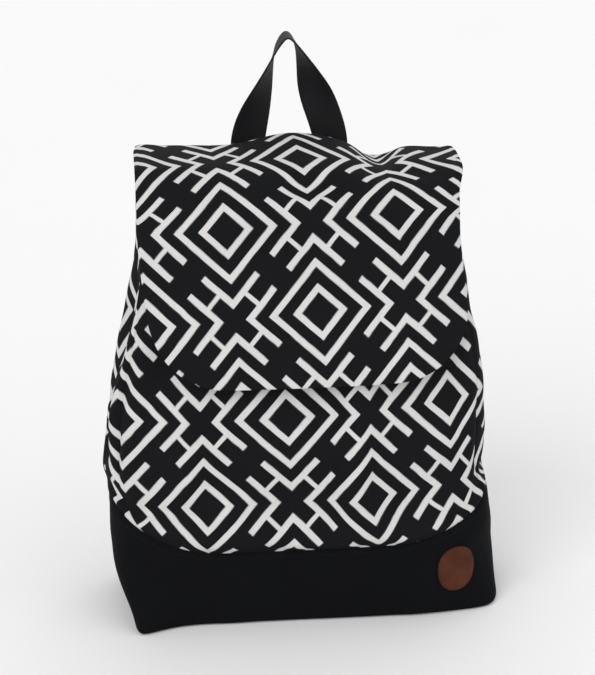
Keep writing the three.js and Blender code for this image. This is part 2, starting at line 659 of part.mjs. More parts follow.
function hookBody() {
  const stemTop = eyeWindow + RUNNING_GAP;
  const stem = cylinderAlong(UP, STEM_RADIUS, stemTop - hookTop, vec3(0, 0, lerp(hookTop, stemTop, 0.5)));
  const headCentre = vec3(0, 0, stemTop + STEM_HEAD_HEIGHT / 2);
  const head = cylinderAlong(UP, STEM_HEAD_RADIUS, STEM_HEAD_HEIGHT, headCentre);
  const pivot = vec3(0, gatePivot.x, gatePivot.y);
  const slotRadius = GATE_PIVOT_RADIUS + RUNNING_GAP;
  const slotWidth = GATE_WIDTH + 2 * RUNNING_GAP;
  const outside = hookPitch + 2 * HOOK_WIRE_RADIUS;
  const slot = polygon([
    [pivot.y - slotRadius - GATE_SWING_ROOM, pivot.z - HOOK_HEAD_HEIGHT],
    [outside, pivot.z - HOOK_HEAD_HEIGHT],
    [outside, pivot.z + slotRadius],
    [pivot.y, pivot.z + slotRadius],
    [pivot.y, pivot.z],
    [pivot.y - slotRadius, pivot.z],
  ]);
  const slots = [
    cylinderAlong(ACROSS, slotRadius, slotWidth, pivot),
    extrudeAcross(slot, slotWidth),
    cylinderAlong(ACROSS, GATE_PIN_RADIUS + RUNNING_GAP, 2 * HOOK_HEAD_THICKNESS, pivot, 12),
  ];
  return geometryOf(joined([hookWire(), hookHead(), stem, head]).subtract(joined(slots)));
}

// The gate hangs from its pin, laps the inside of the hook's tip and has a thumb piece on the outside.
function hookGate() {
  const half = GATE_THICKNESS / 2;
  const foot = hookTip - GATE_LAP;
  const bar = polygon([
    [gatePivot.x - half, foot],
    [gatePivot.x + half, foot],
    [gatePivot.x + half, hookTip + RUNNING_GAP],
    [gateOuter + GATE_THUMB_REACH, lerp(hookTip, gatePivot.y, 0.4)],
    [gateOuter + GATE_THUMB_REACH, lerp(hookTip, gatePivot.y, 0.55)],
    [gatePivot.x + GATE_PIVOT_RADIUS, gatePivot.y],
    [gatePivot.x - GATE_PIVOT_RADIUS, gatePivot.y],
    [gatePivot.x - half, lerp(hookTip, gatePivot.y, 0.6)],
  ]);
  const pivot = vec3(0, gatePivot.x, gatePivot.y);
  const knuckle = cylinderAlong(ACROSS, GATE_PIVOT_RADIUS, GATE_WIDTH, pivot);
  const hole = cylinderAlong(ACROSS, GATE_PIN_RADIUS + RUNNING_GAP, 2 * GATE_WIDTH, pivot, 12);
  return geometryOf(joined([extrudeAcross(bar, GATE_WIDTH), knuckle]).subtract(solidOf(hole)));
}

function gatePin() {
  return cylinderAlong(ACROSS, GATE_PIN_RADIUS, HOOK_HEAD_THICKNESS, vec3(0, gatePivot.x, gatePivot.y), 12);
}

// Eye: a flat frame that widens from the stem's boss to the width of the webbing
function hookEye() {
  const outerHalf = innerHalfWidth + EYE_BAR;
  const top = eyeBar + EYE_BAR / 2;
  const frame = polygon([
    [-EYE_BASE_HALF_WIDTH, eyeBase],
    [EYE_BASE_HALF_WIDTH, eyeBase],
    [outerHalf, lerp(eyeBase, top, 0.5)],
    [outerHalf, top],
    [-outerHalf, top],
    [-outerHalf, lerp(eyeBase, top, 0.5)],
  ]);
  const window = polygon([
    [-EYE_BASE_HALF_WIDTH, eyeWindow],
    [EYE_BASE_HALF_WIDTH, eyeWindow],
    [innerHalfWidth, lerp(eyeWindow, eyeBar, 0.45)],
    [innerHalfWidth, eyeBar - EYE_BAR / 2],
    [-innerHalfWidth, eyeBar - EYE_BAR / 2],
    [-innerHalfWidth, lerp(eyeWindow, eyeBar, 0.45)],
  ]);
  frame.holes.push(window);
  const bossCentre = vec3(0, 0, eyeBase + EYE_BAR / 2);
  const boss = cylinderAlong(UP, EYE_BOSS_RADIUS, EYE_BAR, bossCentre);
  const bore = cylinderAlong(UP, STEM_RADIUS + RUNNING_GAP, 2 * EYE_BAR, bossCentre);
  return geometryOf(joined([extrudeThrough(frame, EYE_BAR), boss]).subtract(solidOf(bore)));
}

// Slider: a pin that holds the strap's end, between two curved rails that end in cross bars
function sliderFrame() {
  const reach = SLIDER_HALF_LENGTH;
  const shape = new THREE.Shape();
  shape.moveTo(sliderPin - SLIDER_PIN_RADIUS, sliderHeight - reach / 3);
  shape.quadraticCurveTo(sliderPin, sliderHeight - reach, sliderFace, sliderHeight - reach);
  shape.lineTo(sliderFace + SLIDER_BAR, sliderHeight - reach);
  shape.lineTo(sliderFace + SLIDER_BAR, sliderHeight - reach + SLIDER_BAR);
  shape.quadraticCurveTo(sliderPin + SLIDER_RAIL, sliderHeight, sliderFace + SLIDER_BAR, sliderHeight + reach - SLIDER_BAR);
  shape.lineTo(sliderFace + SLIDER_BAR, sliderHeight + reach);
  shape.lineTo(sliderFace, sliderHeight + reach);
  shape.quadraticCurveTo(sliderPin, sliderHeight + reach, sliderPin - SLIDER_PIN_RADIUS, sliderHeight + reach / 3);
  const railPlace = innerHalfWidth + SLIDER_RAIL / 2;
  const rails = [-1, 1].map((side) => extrudeAcross(shape, SLIDER_RAIL).translate(side * railPlace, 0, 0));
  const width = 2 * railPlace;
  const bars = [-1, 1].map((side) => {
    const centre = vec3(0, sliderFace + SLIDER_BAR / 2, sliderHeight + side * (reach - SLIDER_BAR / 2));
    return boxAt(vec3(width, SLIDER_BAR, SLIDER_BAR), centre);
  });
  const pin = cylinderAlong(ACROSS, SLIDER_PIN_RADIUS, width, vec3(0, sliderPin, sliderHeight), 12);
  return geometryOf(joined([...rails, ...bars, pin]));
}

// A hairpin of webbing in Y and Z: up one side of a bar, round it and down the other side
function hairpin(centre, radius, nearEnd, farEnd, from, to) {
  const arc = spread(from, to, 8).map((angle) =>
    vec3(0, centre.x + radius * Math.cos(angle), centre.y + radius * Math.sin(angle)),
  );
  return [vec3(0, nearEnd.x, nearEnd.y), ...arc, vec3(0, farEnd.x, farEnd.y)];
}

function sliderLoop() {
  const pin = vec2(sliderPin, sliderHeight);
  const tail = vec2(sliderPin - sliderLoopRadius, sliderHeight - SLIDER_LOOP_LENGTH);
  const lead = vec2(sliderPin + sliderLoopRadius, sliderHeight - SLIDER_LOOP_LENGTH);
  return webbingAlong(hairpin(pin, sliderLoopRadius, tail, lead, Math.PI, 0));
}

// The strap runs from its sewn top through the slider to the eye and turns up round the eye's bar.
function strapMain(toStrapFrame) {
  const bar = vec2(0, eyeBar);
  const turn = spread(-Math.PI / 2 + wrapSeam, 0, 4).map((angle) =>
    vec3(0, bar.x + wrapRadius * Math.cos(angle), bar.y + wrapRadius * Math.sin(angle)),
  );
  const straight = spread(eyeBar, STRAP_STRAIGHT_LENGTH, 5).map((height) => vec3(0, wrapRadius, height));
  const lower = [...turn.slice(0, -1), ...straight].map((point) => point.applyMatrix4(toStrapFrame));
  const bendFrom = lower[lower.length - 1];
  const sewn = SEAM_GAP + WEBBING_THICKNESS / 2;
  const bendTo = vec3(0, sewn, strapLength - STRAP_SEWN_LENGTH);
  const lean = UP.clone().transformDirection(toStrapFrame).multiplyScalar(STRAP_BEND);
  const bend = new THREE.CubicBezierCurve3(
    bendFrom,
    bendFrom.clone().add(lean),
    bendTo.clone().addScaledVector(UP, -STRAP_BEND),
    bendTo,
  );
  const points = [...lower, ...bend.getPoints(12).slice(1), vec3(0, sewn, strapLength)];
  return webbingAlong(points);
}

// The strap's lower layer runs from the eye's bar back up to the slider's loop.
function strapReturn() {
  const bar = vec2(0, eyeBar);
  const turn = spread(-Math.PI / 2 - wrapSeam, -Math.PI, 4).map((angle) =>
    vec3(0, bar.x + wrapRadius * Math.cos(angle), bar.y + wrapRadius * Math.sin(angle)),
  );
  const lead = vec3(0, sliderPin + sliderLoopRadius, sliderHeight - SLIDER_LOOP_LENGTH - SEAM_GAP);
  const rise = lead.z - eyeBar;
  const bend = new THREE.CubicBezierCurve3(
    turn[turn.length - 1],
    vec3(0, -wrapRadius, eyeBar + rise / 3),
    vec3(0, lead.y, lead.z - rise / 3),
    lead,
  );
  return webbingAlong([...turn.slice(0, -1), ...bend.getPoints(10)]);
}

function shoulderStrap(side, name) {
  const strap = addGroup(bag, vec3(side * RING_OFFSET, BACK_DEPTH, RING_HEIGHT));
  strap.rotation.y = -side * strapSlant;
  const hardware = addGroup(strap, vec3(0, RING_STANDOFF, 0));
  hardware.rotation.x = -STRAP_LEAN_OUT;
  hardware.updateMatrix();
  addPiece(strap, `${name}_strap`, strapMain(hardware.matrix), WEBBING);
  addPiece(strap, `${name}_ring_tab`, ringTab(), WEBBING);
  addPiece(hardware, `${name}_strap_return`, strapReturn(), WEBBING);
  addPiece(hardware, `${name}_slider`, sliderFrame(), NICKEL);
  addPiece(hardware, `${name}_slider_loop`, sliderLoop(), WEBBING);
  addPiece(hardware, `${name}_hook_eye`, hookEye(), NICKEL);
  addPiece(hardware, `${name}_hook_body`, hookBody(), NICKEL);
  addPiece(hardware, `${name}_hook_gate`, hookGate(), NICKEL);
  addPiece(hardware, `${name}_gate_pin`, gatePin(), NICKEL);
  addPiece(hardware, `${name}_d_ring`, ringShape(), NICKEL);
}

shoulderStrap(-1, "left");
shoulderStrap(1, "right");

export default bag;
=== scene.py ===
import math

import bmesh
import bpy
import numpy as np
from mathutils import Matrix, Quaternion, Vector, noise


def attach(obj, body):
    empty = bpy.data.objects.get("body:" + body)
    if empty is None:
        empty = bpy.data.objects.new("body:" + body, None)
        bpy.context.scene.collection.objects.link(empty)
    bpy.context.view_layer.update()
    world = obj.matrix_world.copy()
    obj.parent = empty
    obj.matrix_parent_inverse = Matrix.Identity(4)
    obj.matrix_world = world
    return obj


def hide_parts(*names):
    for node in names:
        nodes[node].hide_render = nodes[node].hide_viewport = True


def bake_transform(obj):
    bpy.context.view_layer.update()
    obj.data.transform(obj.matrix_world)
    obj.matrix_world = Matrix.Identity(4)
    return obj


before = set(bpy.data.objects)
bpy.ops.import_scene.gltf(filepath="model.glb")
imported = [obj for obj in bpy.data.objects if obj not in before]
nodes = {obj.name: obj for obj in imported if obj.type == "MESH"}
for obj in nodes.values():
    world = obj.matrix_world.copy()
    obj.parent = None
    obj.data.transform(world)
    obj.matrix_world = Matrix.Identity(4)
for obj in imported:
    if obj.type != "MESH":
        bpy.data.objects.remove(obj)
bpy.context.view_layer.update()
scene = bpy.context.scene
scene.view_settings.view_transform = "Standard"

# Sizes in metres, as in the part's source. A pair of roundnesses holds at the floor and above the band.
BASE_HALF_WIDTH, BELLY_HALF_WIDTH, MOUTH_HALF_WIDTH = 0.157, 0.158, 0.128
BASE_FRONT, BELLY_FRONT, MOUTH_FRONT = 0.066, 0.076, 0.050
BELLY_HEIGHT, MOUTH_HEIGHT = 0.130, 0.346
BAND_HEIGHT, BAND_SIDE_RISE, BAND_LEVEL_SHARE, BOTTOM_ROLL = 0.063, 0.035, 0.35, 0.005
BACK_DEPTH, BACK_ROUNDNESS = 0.060, 8
FRONT_ROUNDNESS = 2.7
LEFT_ROUNDNESS, RIGHT_ROUNDNESS = (6.5, 2.5), (5.2, 2.9)
CANVAS, LINING, SEAM_GAP = 0.0014, 0.0008, 0.0003
FRONT_SEAM, BACK_SEAM = 0.8, 1.3
FLAP_HALF_WIDTH, FLAP_ROOT_HALF_WIDTH, FLAP_THICKNESS = 0.127, 0.120, 0.0022
FLAP_DROP, FLAP_CORNER, FLAP_OVERHANG, FLAP_DROOP = 0.142, 0.060, 0.014, 0.012
FLAP_BACK_RADIUS, FLAP_FRONT_RADIUS, FLAP_CLEARANCE = 0.026, 0.044, 0.0053
FLAP_LOW = MOUTH_HEIGHT - FLAP_DROP
FLAP_TOP = MOUTH_HEIGHT + SEAM_GAP + FLAP_BACK_RADIUS
PATCH_RADIUS, PATCH_THICKNESS, PATCH_HEIGHT, PATCH_PLACE = 0.019, 0.0018, 0.038, 0.6
WEBBING_WIDTH, WEBBING_THICKNESS = 0.025, 0.0014
HANDLE_WIDTH, HANDLE_HALF_SPAN, HANDLE_HEIGHT = 0.028, 0.033, 0.084
HANDLE_TOP_RADIUS, HANDLE_SEWN = 0.007, 0.018
STRAP_TOP, STRAP_FOOT = (0.036, 0.322), (0.106, 0.046)
STRAP_SEWN, STRAP_STRAIGHT, STRAP_BEND, STRAP_LEAN = 0.022, 0.205, 0.034, math.radians(7)
RING_STANDOFF, TAB_LENGTH, TAB_SEWN, TAB_LOOP = 0.0095, 0.026, 0.014, 0.0018
EYE_BAR_HEIGHT, WRAP_RADIUS, SLIDER_HEIGHT = 0.0634, 0.0031213, 0.1374
SLIDER_PIN, SLIDER_LOOP_RADIUS, SLIDER_LOOP_LENGTH = -0.0006787, 0.0021, 0.012
EYE_BAR, EYE_BASE, EYE_BOSS_RADIUS, STEM_BORE = 0.003, 0.0469, 0.0042, 0.0023

# Repeat of the print across and along the cloth, where a diamond sits on each piece, and how far its rows are turned
PRINT_ACROSS, PRINT_ALONG = 0.137, 0.143
BODY_PRINT, BODY_TURN = (-0.0154, 0.1800), math.radians(2.0)
BACK_PRINT, BACK_TURN = (0.0, 0.1763), 0.0
FLAP_PRINT, FLAP_TURN = (0.0137, 0.0602), math.radians(4.0)

# Forms of the print in shares of its repeat: two rings of a diamond, and a cross's arms and the ties over them.
# Their edges are soft, drift a little and step with the yarn.
INNER_DIAMOND, OUTER_DIAMOND = (0.109, 0.159), (0.249, 0.299)
CROSS_ARM, ARM_END = (0.064, 0.116), 0.408
CROSS_TIE, TIE_END = (0.206, 0.242), 0.08
PRINT_SOFT, PRINT_DRIFT, YARN_STEP = 0.004, 0.011, 0.008

# Two yarns of a weave, one over and one under, and the webbing's ribs and picks
CANVAS_WEAVE, LINING_WEAVE = 0.0017, 0.0006
WEBBING_RIB, WEBBING_PICK, PICK_BEND = 0.0021, 0.0013, 0.0004

CLOTH_MAP = "Cloth"


# Shader maths

class Value:
    """A shader socket. Sums of values add Math nodes, and node() adds any other node."""

    def __init__(self, tree, socket=None):
        self.tree = tree
        self.socket = socket

    def node(self, kind, settings=None, inputs=None, out=0):
        made = self.tree.nodes.new(kind)
        for name, setting in (settings or {}).items():
            setattr(made, name, setting)
        for name, given in (inputs or {}).items():
            if isinstance(given, Value):
                self.tree.links.new(given.socket, made.inputs[name])
            else:
                made.inputs[name].default_value = given
        return Value(self.tree, made.outputs[out])

    def math(self, operation, *others):
        return self.node("ShaderNodeMath", {"operation": operation}, dict(enumerate((self, *others))))

    def __add__(self, other):
        return self.math("ADD", other)

    __radd__ = __add__

    def __mul__(self, other):
        return self.math("MULTIPLY", other)

    __rmul__ = __mul__

    def __sub__(self, other):
        return self.math("SUBTRACT", other)

    def __rsub__(self, other):
        return self.node("ShaderNodeMath", {"operation": "SUBTRACT"}, {0: other, 1: self})

    def __abs__(self):
        return self.math("ABSOLUTE")

    def smooth(self, low, high):
        """0 below low, 1 above high, and smooth between them."""
        return self.node(
            "ShaderNodeMapRange",
            {"interpolation_type": "SMOOTHSTEP"},
            {"Value": self, "From Min": low, "From Max": high},
        )

    def least(self, other):
        return self.math("MINIMUM", other)

    def most(self, other):
        return self.math("MAXIMUM", other)

    def noise(self, scale, detail=2.0, out=0):
        """Noise at the places that this vector gives."""
        return self.node("ShaderNodeTexNoise", None, {"Vector": self, "Scale": scale, "Detail": detail}, out)

    def mix(self, low, high):
        """From colour low at 0 to colour high at 1."""
        inputs = {0: self, 6: low, 7: high}
        return self.node("ShaderNodeMix", {"data_type": "RGBA"}, inputs, out=2)

    def axes(self):
        split = self.node("ShaderNodeSeparateXYZ", None, {0: self})
        return [Value(self.tree, socket) for socket in split.socket.node.outputs]


def new_material(name, **constants):
    """A material whose even values are set on its shader's own sockets, and a value to start its nodes from."""
    material = bpy.data.materials.new(name)
    material.use_nodes = True
    shader = material.node_tree.nodes["Principled BSDF"]
    for socket, constant in constants.items():
        shader.inputs[socket.replace("_", " ")].default_value = constant
    return material, Value(material.node_tree)


def feed(material, socket, value):
    shader = material.node_tree.nodes["Principled BSDF"]
    value.tree.links.new(value.socket, shader.inputs[socket])


def finished(material, colour, roughness, height, strength, depth):
    """The material with its colour, roughness and relief fed to its shader."""
    relief = {"Strength": strength, "Distance": depth, "Height": height}
    feed(material, "Base Color", colour)
    feed(material, "Roughness", roughness)
    feed(material, "Normal", height.node("ShaderNodeBump", None, relief))
    return material


def cloth_material(name, gloss):
    """A material, places on its cloth, and distances across and along it in metres, from the piece's own UV map."""
    material, start = new_material(name, Specular_IOR_Level=gloss)
    where = start.node("ShaderNodeUVMap", {"uv_map": CLOTH_MAP})
    across, along, _ = where.axes()
    return material, where, across, along


def weave(across, along, yarn):
    """Height of a plain weave, from 0 to 1."""
    over = (across * (2 * math.pi / yarn)).math("SINE")
    under = (along * (2 * math.pi / yarn)).math("SINE")
    return over * under * 0.5 + 0.5


def canvas_threads(where, yarn, fleck_scale, fleck_low, cloud_scale):
    """Flecks of the canvas, and the shade of its threads, both from 0 to 1."""
    fleck = where.noise(fleck_scale).smooth(fleck_low, 0.75)
    cloud = where.noise(cloud_scale, 3.0)
    return fleck, fleck * 0.3 + cloud * 0.3 + yarn * 0.4


def lattice(across, along, drift, yarn):
    """The print: 1 on a light form and 0 on the dark ground."""
    drift_across, drift_along, _ = drift.axes()
    step = yarn * YARN_STEP
    u = across * (1 / PRINT_ACROSS) + drift_across * PRINT_DRIFT - PRINT_DRIFT / 2
    v = along * (1 / PRINT_ALONG) + drift_along * PRINT_DRIFT - PRINT_DRIFT / 2
    a = (u + v).math("PINGPONG", 0.5) + step - YARN_STEP / 2
    b = (u - v).math("PINGPONG", 0.5) - step + YARN_STEP / 2

    def past(value, edge):
        return value.smooth(edge - PRINT_SOFT, edge + PRINT_SOFT)

    def band(value, low, high):
        return past(value, low) * (1.0 - past(value, high))

    from_diamond = a.most(b)
    diamond = band(from_diamond, *INNER_DIAMOND).most(band(from_diamond, *OUTER_DIAMOND))
    c, d = 0.5 - a, 0.5 - b
    near, far = c.least(d), c.most(d)
    arms = band(near, *CROSS_ARM) * (1.0 - past(far, ARM_END))
    ties = (1.0 - past(near, TIE_END)) * band(far, *CROSS_TIE)
    return diamond.most(arms).most(ties)


def printed_canvas():
    material, where, across, along = cloth_material("printed_canvas", 0.08)
    yarn = weave(across, along, CANVAS_WEAVE)
    pattern = lattice(across, along, where.noise(60.0, out=1), yarn)
    fleck, thread = canvas_threads(where, yarn, 900.0, 0.25, 22.0)
    dark = thread.mix((0.0040, 0.0042, 0.0051, 1), (0.0120, 0.0123, 0.0146, 1))
    light = thread.mix((0.50, 0.49, 0.485, 1), (0.82, 0.81, 0.805, 1))
    roughness = 0.92 - pattern * 0.1 - fleck * 0.06
    height = yarn * 0.7 + fleck * 0.3 + pattern * 0.25
    return finished(material, pattern.mix(dark, light), roughness, height, 0.5, 0.0003)


def base_canvas():
    material, where, across, along = cloth_material("base_canvas", 0.06)
    yarn = weave(across, along, CANVAS_WEAVE)
    fleck, shade = canvas_threads(where, yarn, 800.0, 0.3, 18.0)
    colour = shade.mix((0.0014, 0.0016, 0.0021, 1), (0.0082, 0.0086, 0.0103, 1))
    return finished(material, colour, 0.95 - shade * 0.2, yarn * 0.7 + fleck * 0.3, 0.6, 0.0004)


def lining_cloth():
    material, where, across, along = cloth_material("lining_cloth", 0.3)
    yarn = weave(across, along, LINING_WEAVE)
    cloud = where.noise(30.0, 3.0)
    colour = (yarn * 0.3 + cloud * 0.7).mix((0.006, 0.006, 0.0068, 1), (0.014, 0.014, 0.0155, 1))
    return finished(material, colour, 0.7 - cloud * 0.15, yarn + cloud, 0.2, 0.0002)


def ribbed_webbing():
    material, where, across, along = cloth_material("ribbed_webbing", 0.14)
    rib = abs((across * (math.pi / WEBBING_RIB)).math("SINE"))
    pick = abs(((along + rib * PICK_BEND) * (math.pi / WEBBING_PICK)).math("SINE"))
    fleck, cloud = where.noise(1100.0), where.noise(40.0)
    shade = rib * 0.35 + pick * 0.25 + fleck * 0.2 + cloud * 0.2
    colour = shade.mix((0.0026, 0.0026, 0.0031, 1), (0.0125, 0.0125, 0.0145, 1))
    height = rib * 0.6 + pick * 0.4 + fleck * 0.15
    return finished(material, colour, 0.78 - shade * 0.25, height, 0.6, 0.0004)


def brown_leather():
    material, where, across, along = cloth_material("brown_leather", 0.12)
    radius = (across * across + along * along).math("SQRT")
    edge = radius.smooth(PATCH_RADIUS * 0.86, PATCH_RADIUS)
    pores = where.node("ShaderNodeTexVoronoi", {"feature": "DISTANCE_TO_EDGE"}, {"Vector": where, "Scale": 900.0})
    grain = pores.smooth(0.0, 0.12)
    pits = 1.0 - grain
    cloud = where.noise(160.0, 4.0)
    worn = where.noise(45.0, 3.0).smooth(0.35, 0.7)
    brown = (cloud * 0.55 + worn * 0.45).mix((0.052, 0.0122, 0.0052, 1), (0.110, 0.030, 0.0138, 1))
    colour = (edge * 0.4 + pits * 0.25).mix(brown, (0.038, 0.011, 0.006, 1))
    roughness = 0.62 - worn * 0.14 + pits * 0.1
    return finished(material, colour, roughness, grain * 0.6 + cloud * 0.6, 0.45, 0.0002)


def polished_nickel():
    material, start = new_material("polished_nickel", Metallic=1.0)
    where = start.node("ShaderNodeTexCoord", out="Object")
    cloud = where.noise(140.0, 3.0)
    drawn_out = where.node("ShaderNodeMapping", None, {"Vector": where, "Scale": (300.0, 2600.0, 500.0)})
    scratch = drawn_out.noise(1.0)
    colour = cloud.mix((0.40, 0.39, 0.375, 1), (0.52, 0.51, 0.49, 1))
    roughness = 0.13 + cloud * 0.1 + scratch.smooth(0.55, 0.8) * 0.12
    return finished(material, colour, roughness, cloud * 0.6 + scratch * 0.4, 0.06, 0.0002)


def black_thread():
    material, start = new_material("black_thread", Specular_IOR_Level=0.12)
    fleck = start.node("ShaderNodeTexCoord", out="Object").noise(1500.0)
    colour = fleck.mix((0.003, 0.003, 0.0036, 1), (0.0105, 0.0105, 0.012, 1))
    return finished(material, colour, 0.65 + fleck * 0.2, fleck, 0.3, 0.0002)


PRINTED = printed_canvas()
PLAIN = base_canvas()
LINED = lining_cloth()
WEBBED = ribbed_webbing()
LEATHER = brown_leather()
NICKEL = polished_nickel()
THREAD = black_thread()


# Meshes

SHEET_SHARP, STRIP_SHARP = math.radians(60), math.radians(70)


def linked(name, data):
    """A new object in the scene."""
    made = bpy.data.objects.new(name, data)
    scene.collection.objects.link(made)
    return made


def add_object(name, mesh, material):
    mesh.materials.append(material)
    mesh.shade_smooth()
    return linked(name, mesh)


def baked(draft):
    """The mesh that a draft's modifiers give. The draft itself goes."""
    graph = bpy.context.evaluated_depsgraph_get()
    mesh = bpy.data.meshes.new_from_object(draft.evaluated_get(graph))
    bpy.data.objects.remove(draft)
    return mesh


def mesh_with_uv(name, points, faces, uv):
    mesh = bpy.data.meshes.new(name)
    mesh.from_pydata(points.tolist(), [], faces)
    layer = mesh.uv_layers.new(name=CLOTH_MAP)
    corner = np.zeros(len(mesh.loops), np.int32)
    mesh.loops.foreach_get("vertex_index", corner)
    layer.data.foreach_set("uv", uv.astype(np.float32)[corner].ravel())
    mesh.update()
    return mesh


def faces_between(low, high):
    """Faces of a grid, from columns of vertex numbers and the columns after them."""
    return np.stack([low[:, :-1], high[:, :-1], high[:, 1:], low[:, 1:]], -1).reshape(-1, 4)


def tube_faces(rings, count):
    """Faces of a tube of rings of points, with its two ends closed."""
    index = np.arange(rings * count).reshape(rings, count)
    beside = np.roll(index, -1, axis=1)
    sides = np.stack([index[:-1], beside[:-1], beside[1:], index[1:]], -1).reshape(-1, 4)
    return [*sides.tolist(), index[0][::-1].tolist(), index[-1].tolist()]


def closed_sheet(name, outer, inner, uv, material, ring=False, poles=None):
    """A sheet of cloth between two grids of points [across, along]. A ring joins its last column to its first, and
    poles, an outer point, an inner point and their place in the cloth, close a ring's first row."""
    under = outer.shape[0] * outer.shape[1]
    index = np.arange(under).reshape(outer.shape[:2])
    low = index if ring else index[:-1]
    high = np.roll(index, -1, axis=0) if ring else index[1:]

    def rim(first, second):
        return np.stack([first, first + under, second + under, second], -1)

    outside = faces_between(low, high)
    faces = [outside, outside[:, [0, 3, 2, 1]] + under, rim(high[:, -1], low[:, -1])]
    if not ring:
        faces += [rim(index[0, 1:], index[0, :-1]), rim(index[-1, :-1], index[-1, 1:])]
    points = [outer.reshape(-1, 3), inner.reshape(-1, 3)]
    flat = [uv.reshape(-1, 2)] * 2
    first, second = low[:, 0], high[:, 0]
    if poles:
        pole = 0 * first + 2 * under
        faces += [np.stack([second, first, pole], -1), np.stack([first + under, second + under, pole + 1], -1)]
        points.append(poles[:2])
        flat.append([poles[2]] * 2)
    else:
        faces.append(rim(first, second))
    faces = [face for part in faces for face in part.tolist()]
    mesh = mesh_with_uv(name, np.concatenate(points), faces, np.concatenate(flat))
    mesh.set_sharp_from_angle(angle=SHEET_SHARP)
    return add_object(name, mesh, material)


def grid_normals(points, ring=False):
    """Outward normals of a grid of points [across, along]."""
    if ring:
        across = np.roll(points, -1, axis=0) - np.roll(points, 1, axis=0)
    else:
        across = np.gradient(points, axis=0)
    outward = np.cross(across, np.gradient(points, axis=1))
    return outward / np.maximum(np.linalg.norm(outward, axis=2, keepdims=True), 1e-12)


def unit(vectors):
    return vectors / np.linalg.norm(vectors, axis=-1, keepdims=True)


def lengths_along(points):
    """Length of a line up to each of its points."""
    return np.concatenate([[0], np.cumsum(np.linalg.norm(np.diff(points, axis=0), axis=1))])


def smoothstep(value, low, high):
    t = np.clip((value - low) / (high - low), 0, 1)
    return t * t * (3 - 2 * t)


def plateau(value, start, full, fade, end):
    """0 before start, 1 from full to fade, and 0 after end."""
    return smoothstep(value, start, full) * (1 - smoothstep(value, fade, end))


def hump(value, middle, width):
    return np.exp(-(((value - middle) / width) ** 2))


def humps(value, *waves):
    """Sum of humps, each with its height, middle and width."""
    return sum(height * hump(value, middle, width) for height, middle, width in waves)


def laid_on(across, along, origin, turn):
    """Places in the print of places on the cloth."""
    u, v = across - origin[0], along - origin[1]
    c, s = math.cos(turn), math.sin(turn)
    return np.stack([u * c + v * s, v * c - u * s], -1)


def cloth_noise(points, scale, seed):
    """Smooth noise from -1 to 1 at each point."""
    flat = points.reshape(-1, 3) * np.asarray(scale) + seed
    return np.array([noise.noise(Vector(p)) for p in flat]).reshape(points.shape[:-1])


# Bag body: the same outlines as the solids, with the slack of soft canvas

# Steps of the columns from seam to seam, in places round the bag, and of the rows in metres, closer beside a seam
FRONT_STEP, SIDE_STEP, BACK_STEP, BESIDE_SEAM = 0.0135, 0.0125, 0.014, (0.006, 0.014)
UPPER_ROW, BAND_ROW, BESIDE_EDGE, ROLL_ROWS = 0.0027, 0.0035, (0.0012, 0.0028), 5
OVAL_POINTS, CUT_ROWS = 721, 174
BAND_SEAMS = (-BACK_SEAM, BACK_SEAM)
UPPER_SEAMS = (-BACK_SEAM, -FRONT_SEAM, FRONT_SEAM, BACK_SEAM)
SIDE_SEAM_DIP, BAND_SEAM_DIP, SEAM_DIP_WIDTH, CLOTH_PER_PLACE = 0.0012, 0.0016, 0.004, 0.19

# Slack of the canvas, left and right where they differ, and where round the bag or how high it is and how wide
GUSSET_TUCK, TUCK_PLACE, GUSSET_RISE = (0.012, 0.009), (1.06, 0.12), (0.085, 0.27)
GUSSET_EDGE, EDGE_PLACE = 0.0035, (0.82, 0.11)
SIDE_SWELLS, SIDE_PLACE = ((0.0078, 0.17, 0.055), (-0.0055, 0.15, 0.05)), (0.97, 0.3)
SIDE_NIP, NIP_HEIGHT = (0.0025, 0.0055), (0.100, 0.035)
BAND_SWELL, BAND_SWELL_RISE, BAND_SWELL_HEIGHT = 0.0016, (0.0, 0.012), (0.018, 0.018)

# Fold and crease on the left: how deep, their place at a height, their slant, that height, their width, and the
# heights that they run through
LEFT_CREASES = (
    (0.0075, -0.9, 0.35, 0.2, 0.035, (0.10, 0.17, 0.25, 0.31)),
    (0.0035, -0.80, 0.25, 0.15, 0.026, (0.11, 0.16, 0.19, 0.24)),
)

# Broad slack, upright folds, and level buckles at the sides: how often they come in X, Y and Z, and a start. Then how
# far out each of them stands above the band and on it, and the heights from the seam to the mouth that they fade at.
SLACK_NOISE = (((9.0, 9.0, 11.0), 3.7), ((26.0, 26.0, 9.0), 11.3), ((14.0, 14.0, 42.0), 23.1))
UPPER_SLACK, LOWER_SLACK = (0.0030, 0.0016, 0.0024), (0.0034, 0.0016, 0.0016)
UPPER_RISE, LOWER_RISE, SLACK_TOP = (0.0, 0.032), (-0.018, 0.022), 0.315
BUCKLE_PLACE, FRONT_FOLDS = (1.0, 0.25), 0.4

# Sag of the upper canvas: how coarse its grid is, and how far a point may move
SAG_STEP, SAG_FRAMES, SAG_SMOOTHING, SAG_FADE = 3, 30, 4, 0.008
MOST_OUT, MOST_IN, MOST_ALONG = 0.003, 0.010, 0.005
CANVAS_CLOTH = {
    "quality": 6,
    "mass": 0.2,
    "tension_stiffness": 20,
    "compression_stiffness": 20,
    "shear_stiffness": 8,
    "bending_stiffness": 3,
    "air_damping": 2,
    "shrink_min": -0.028,
    "vertex_group_mass": "sewn",
}

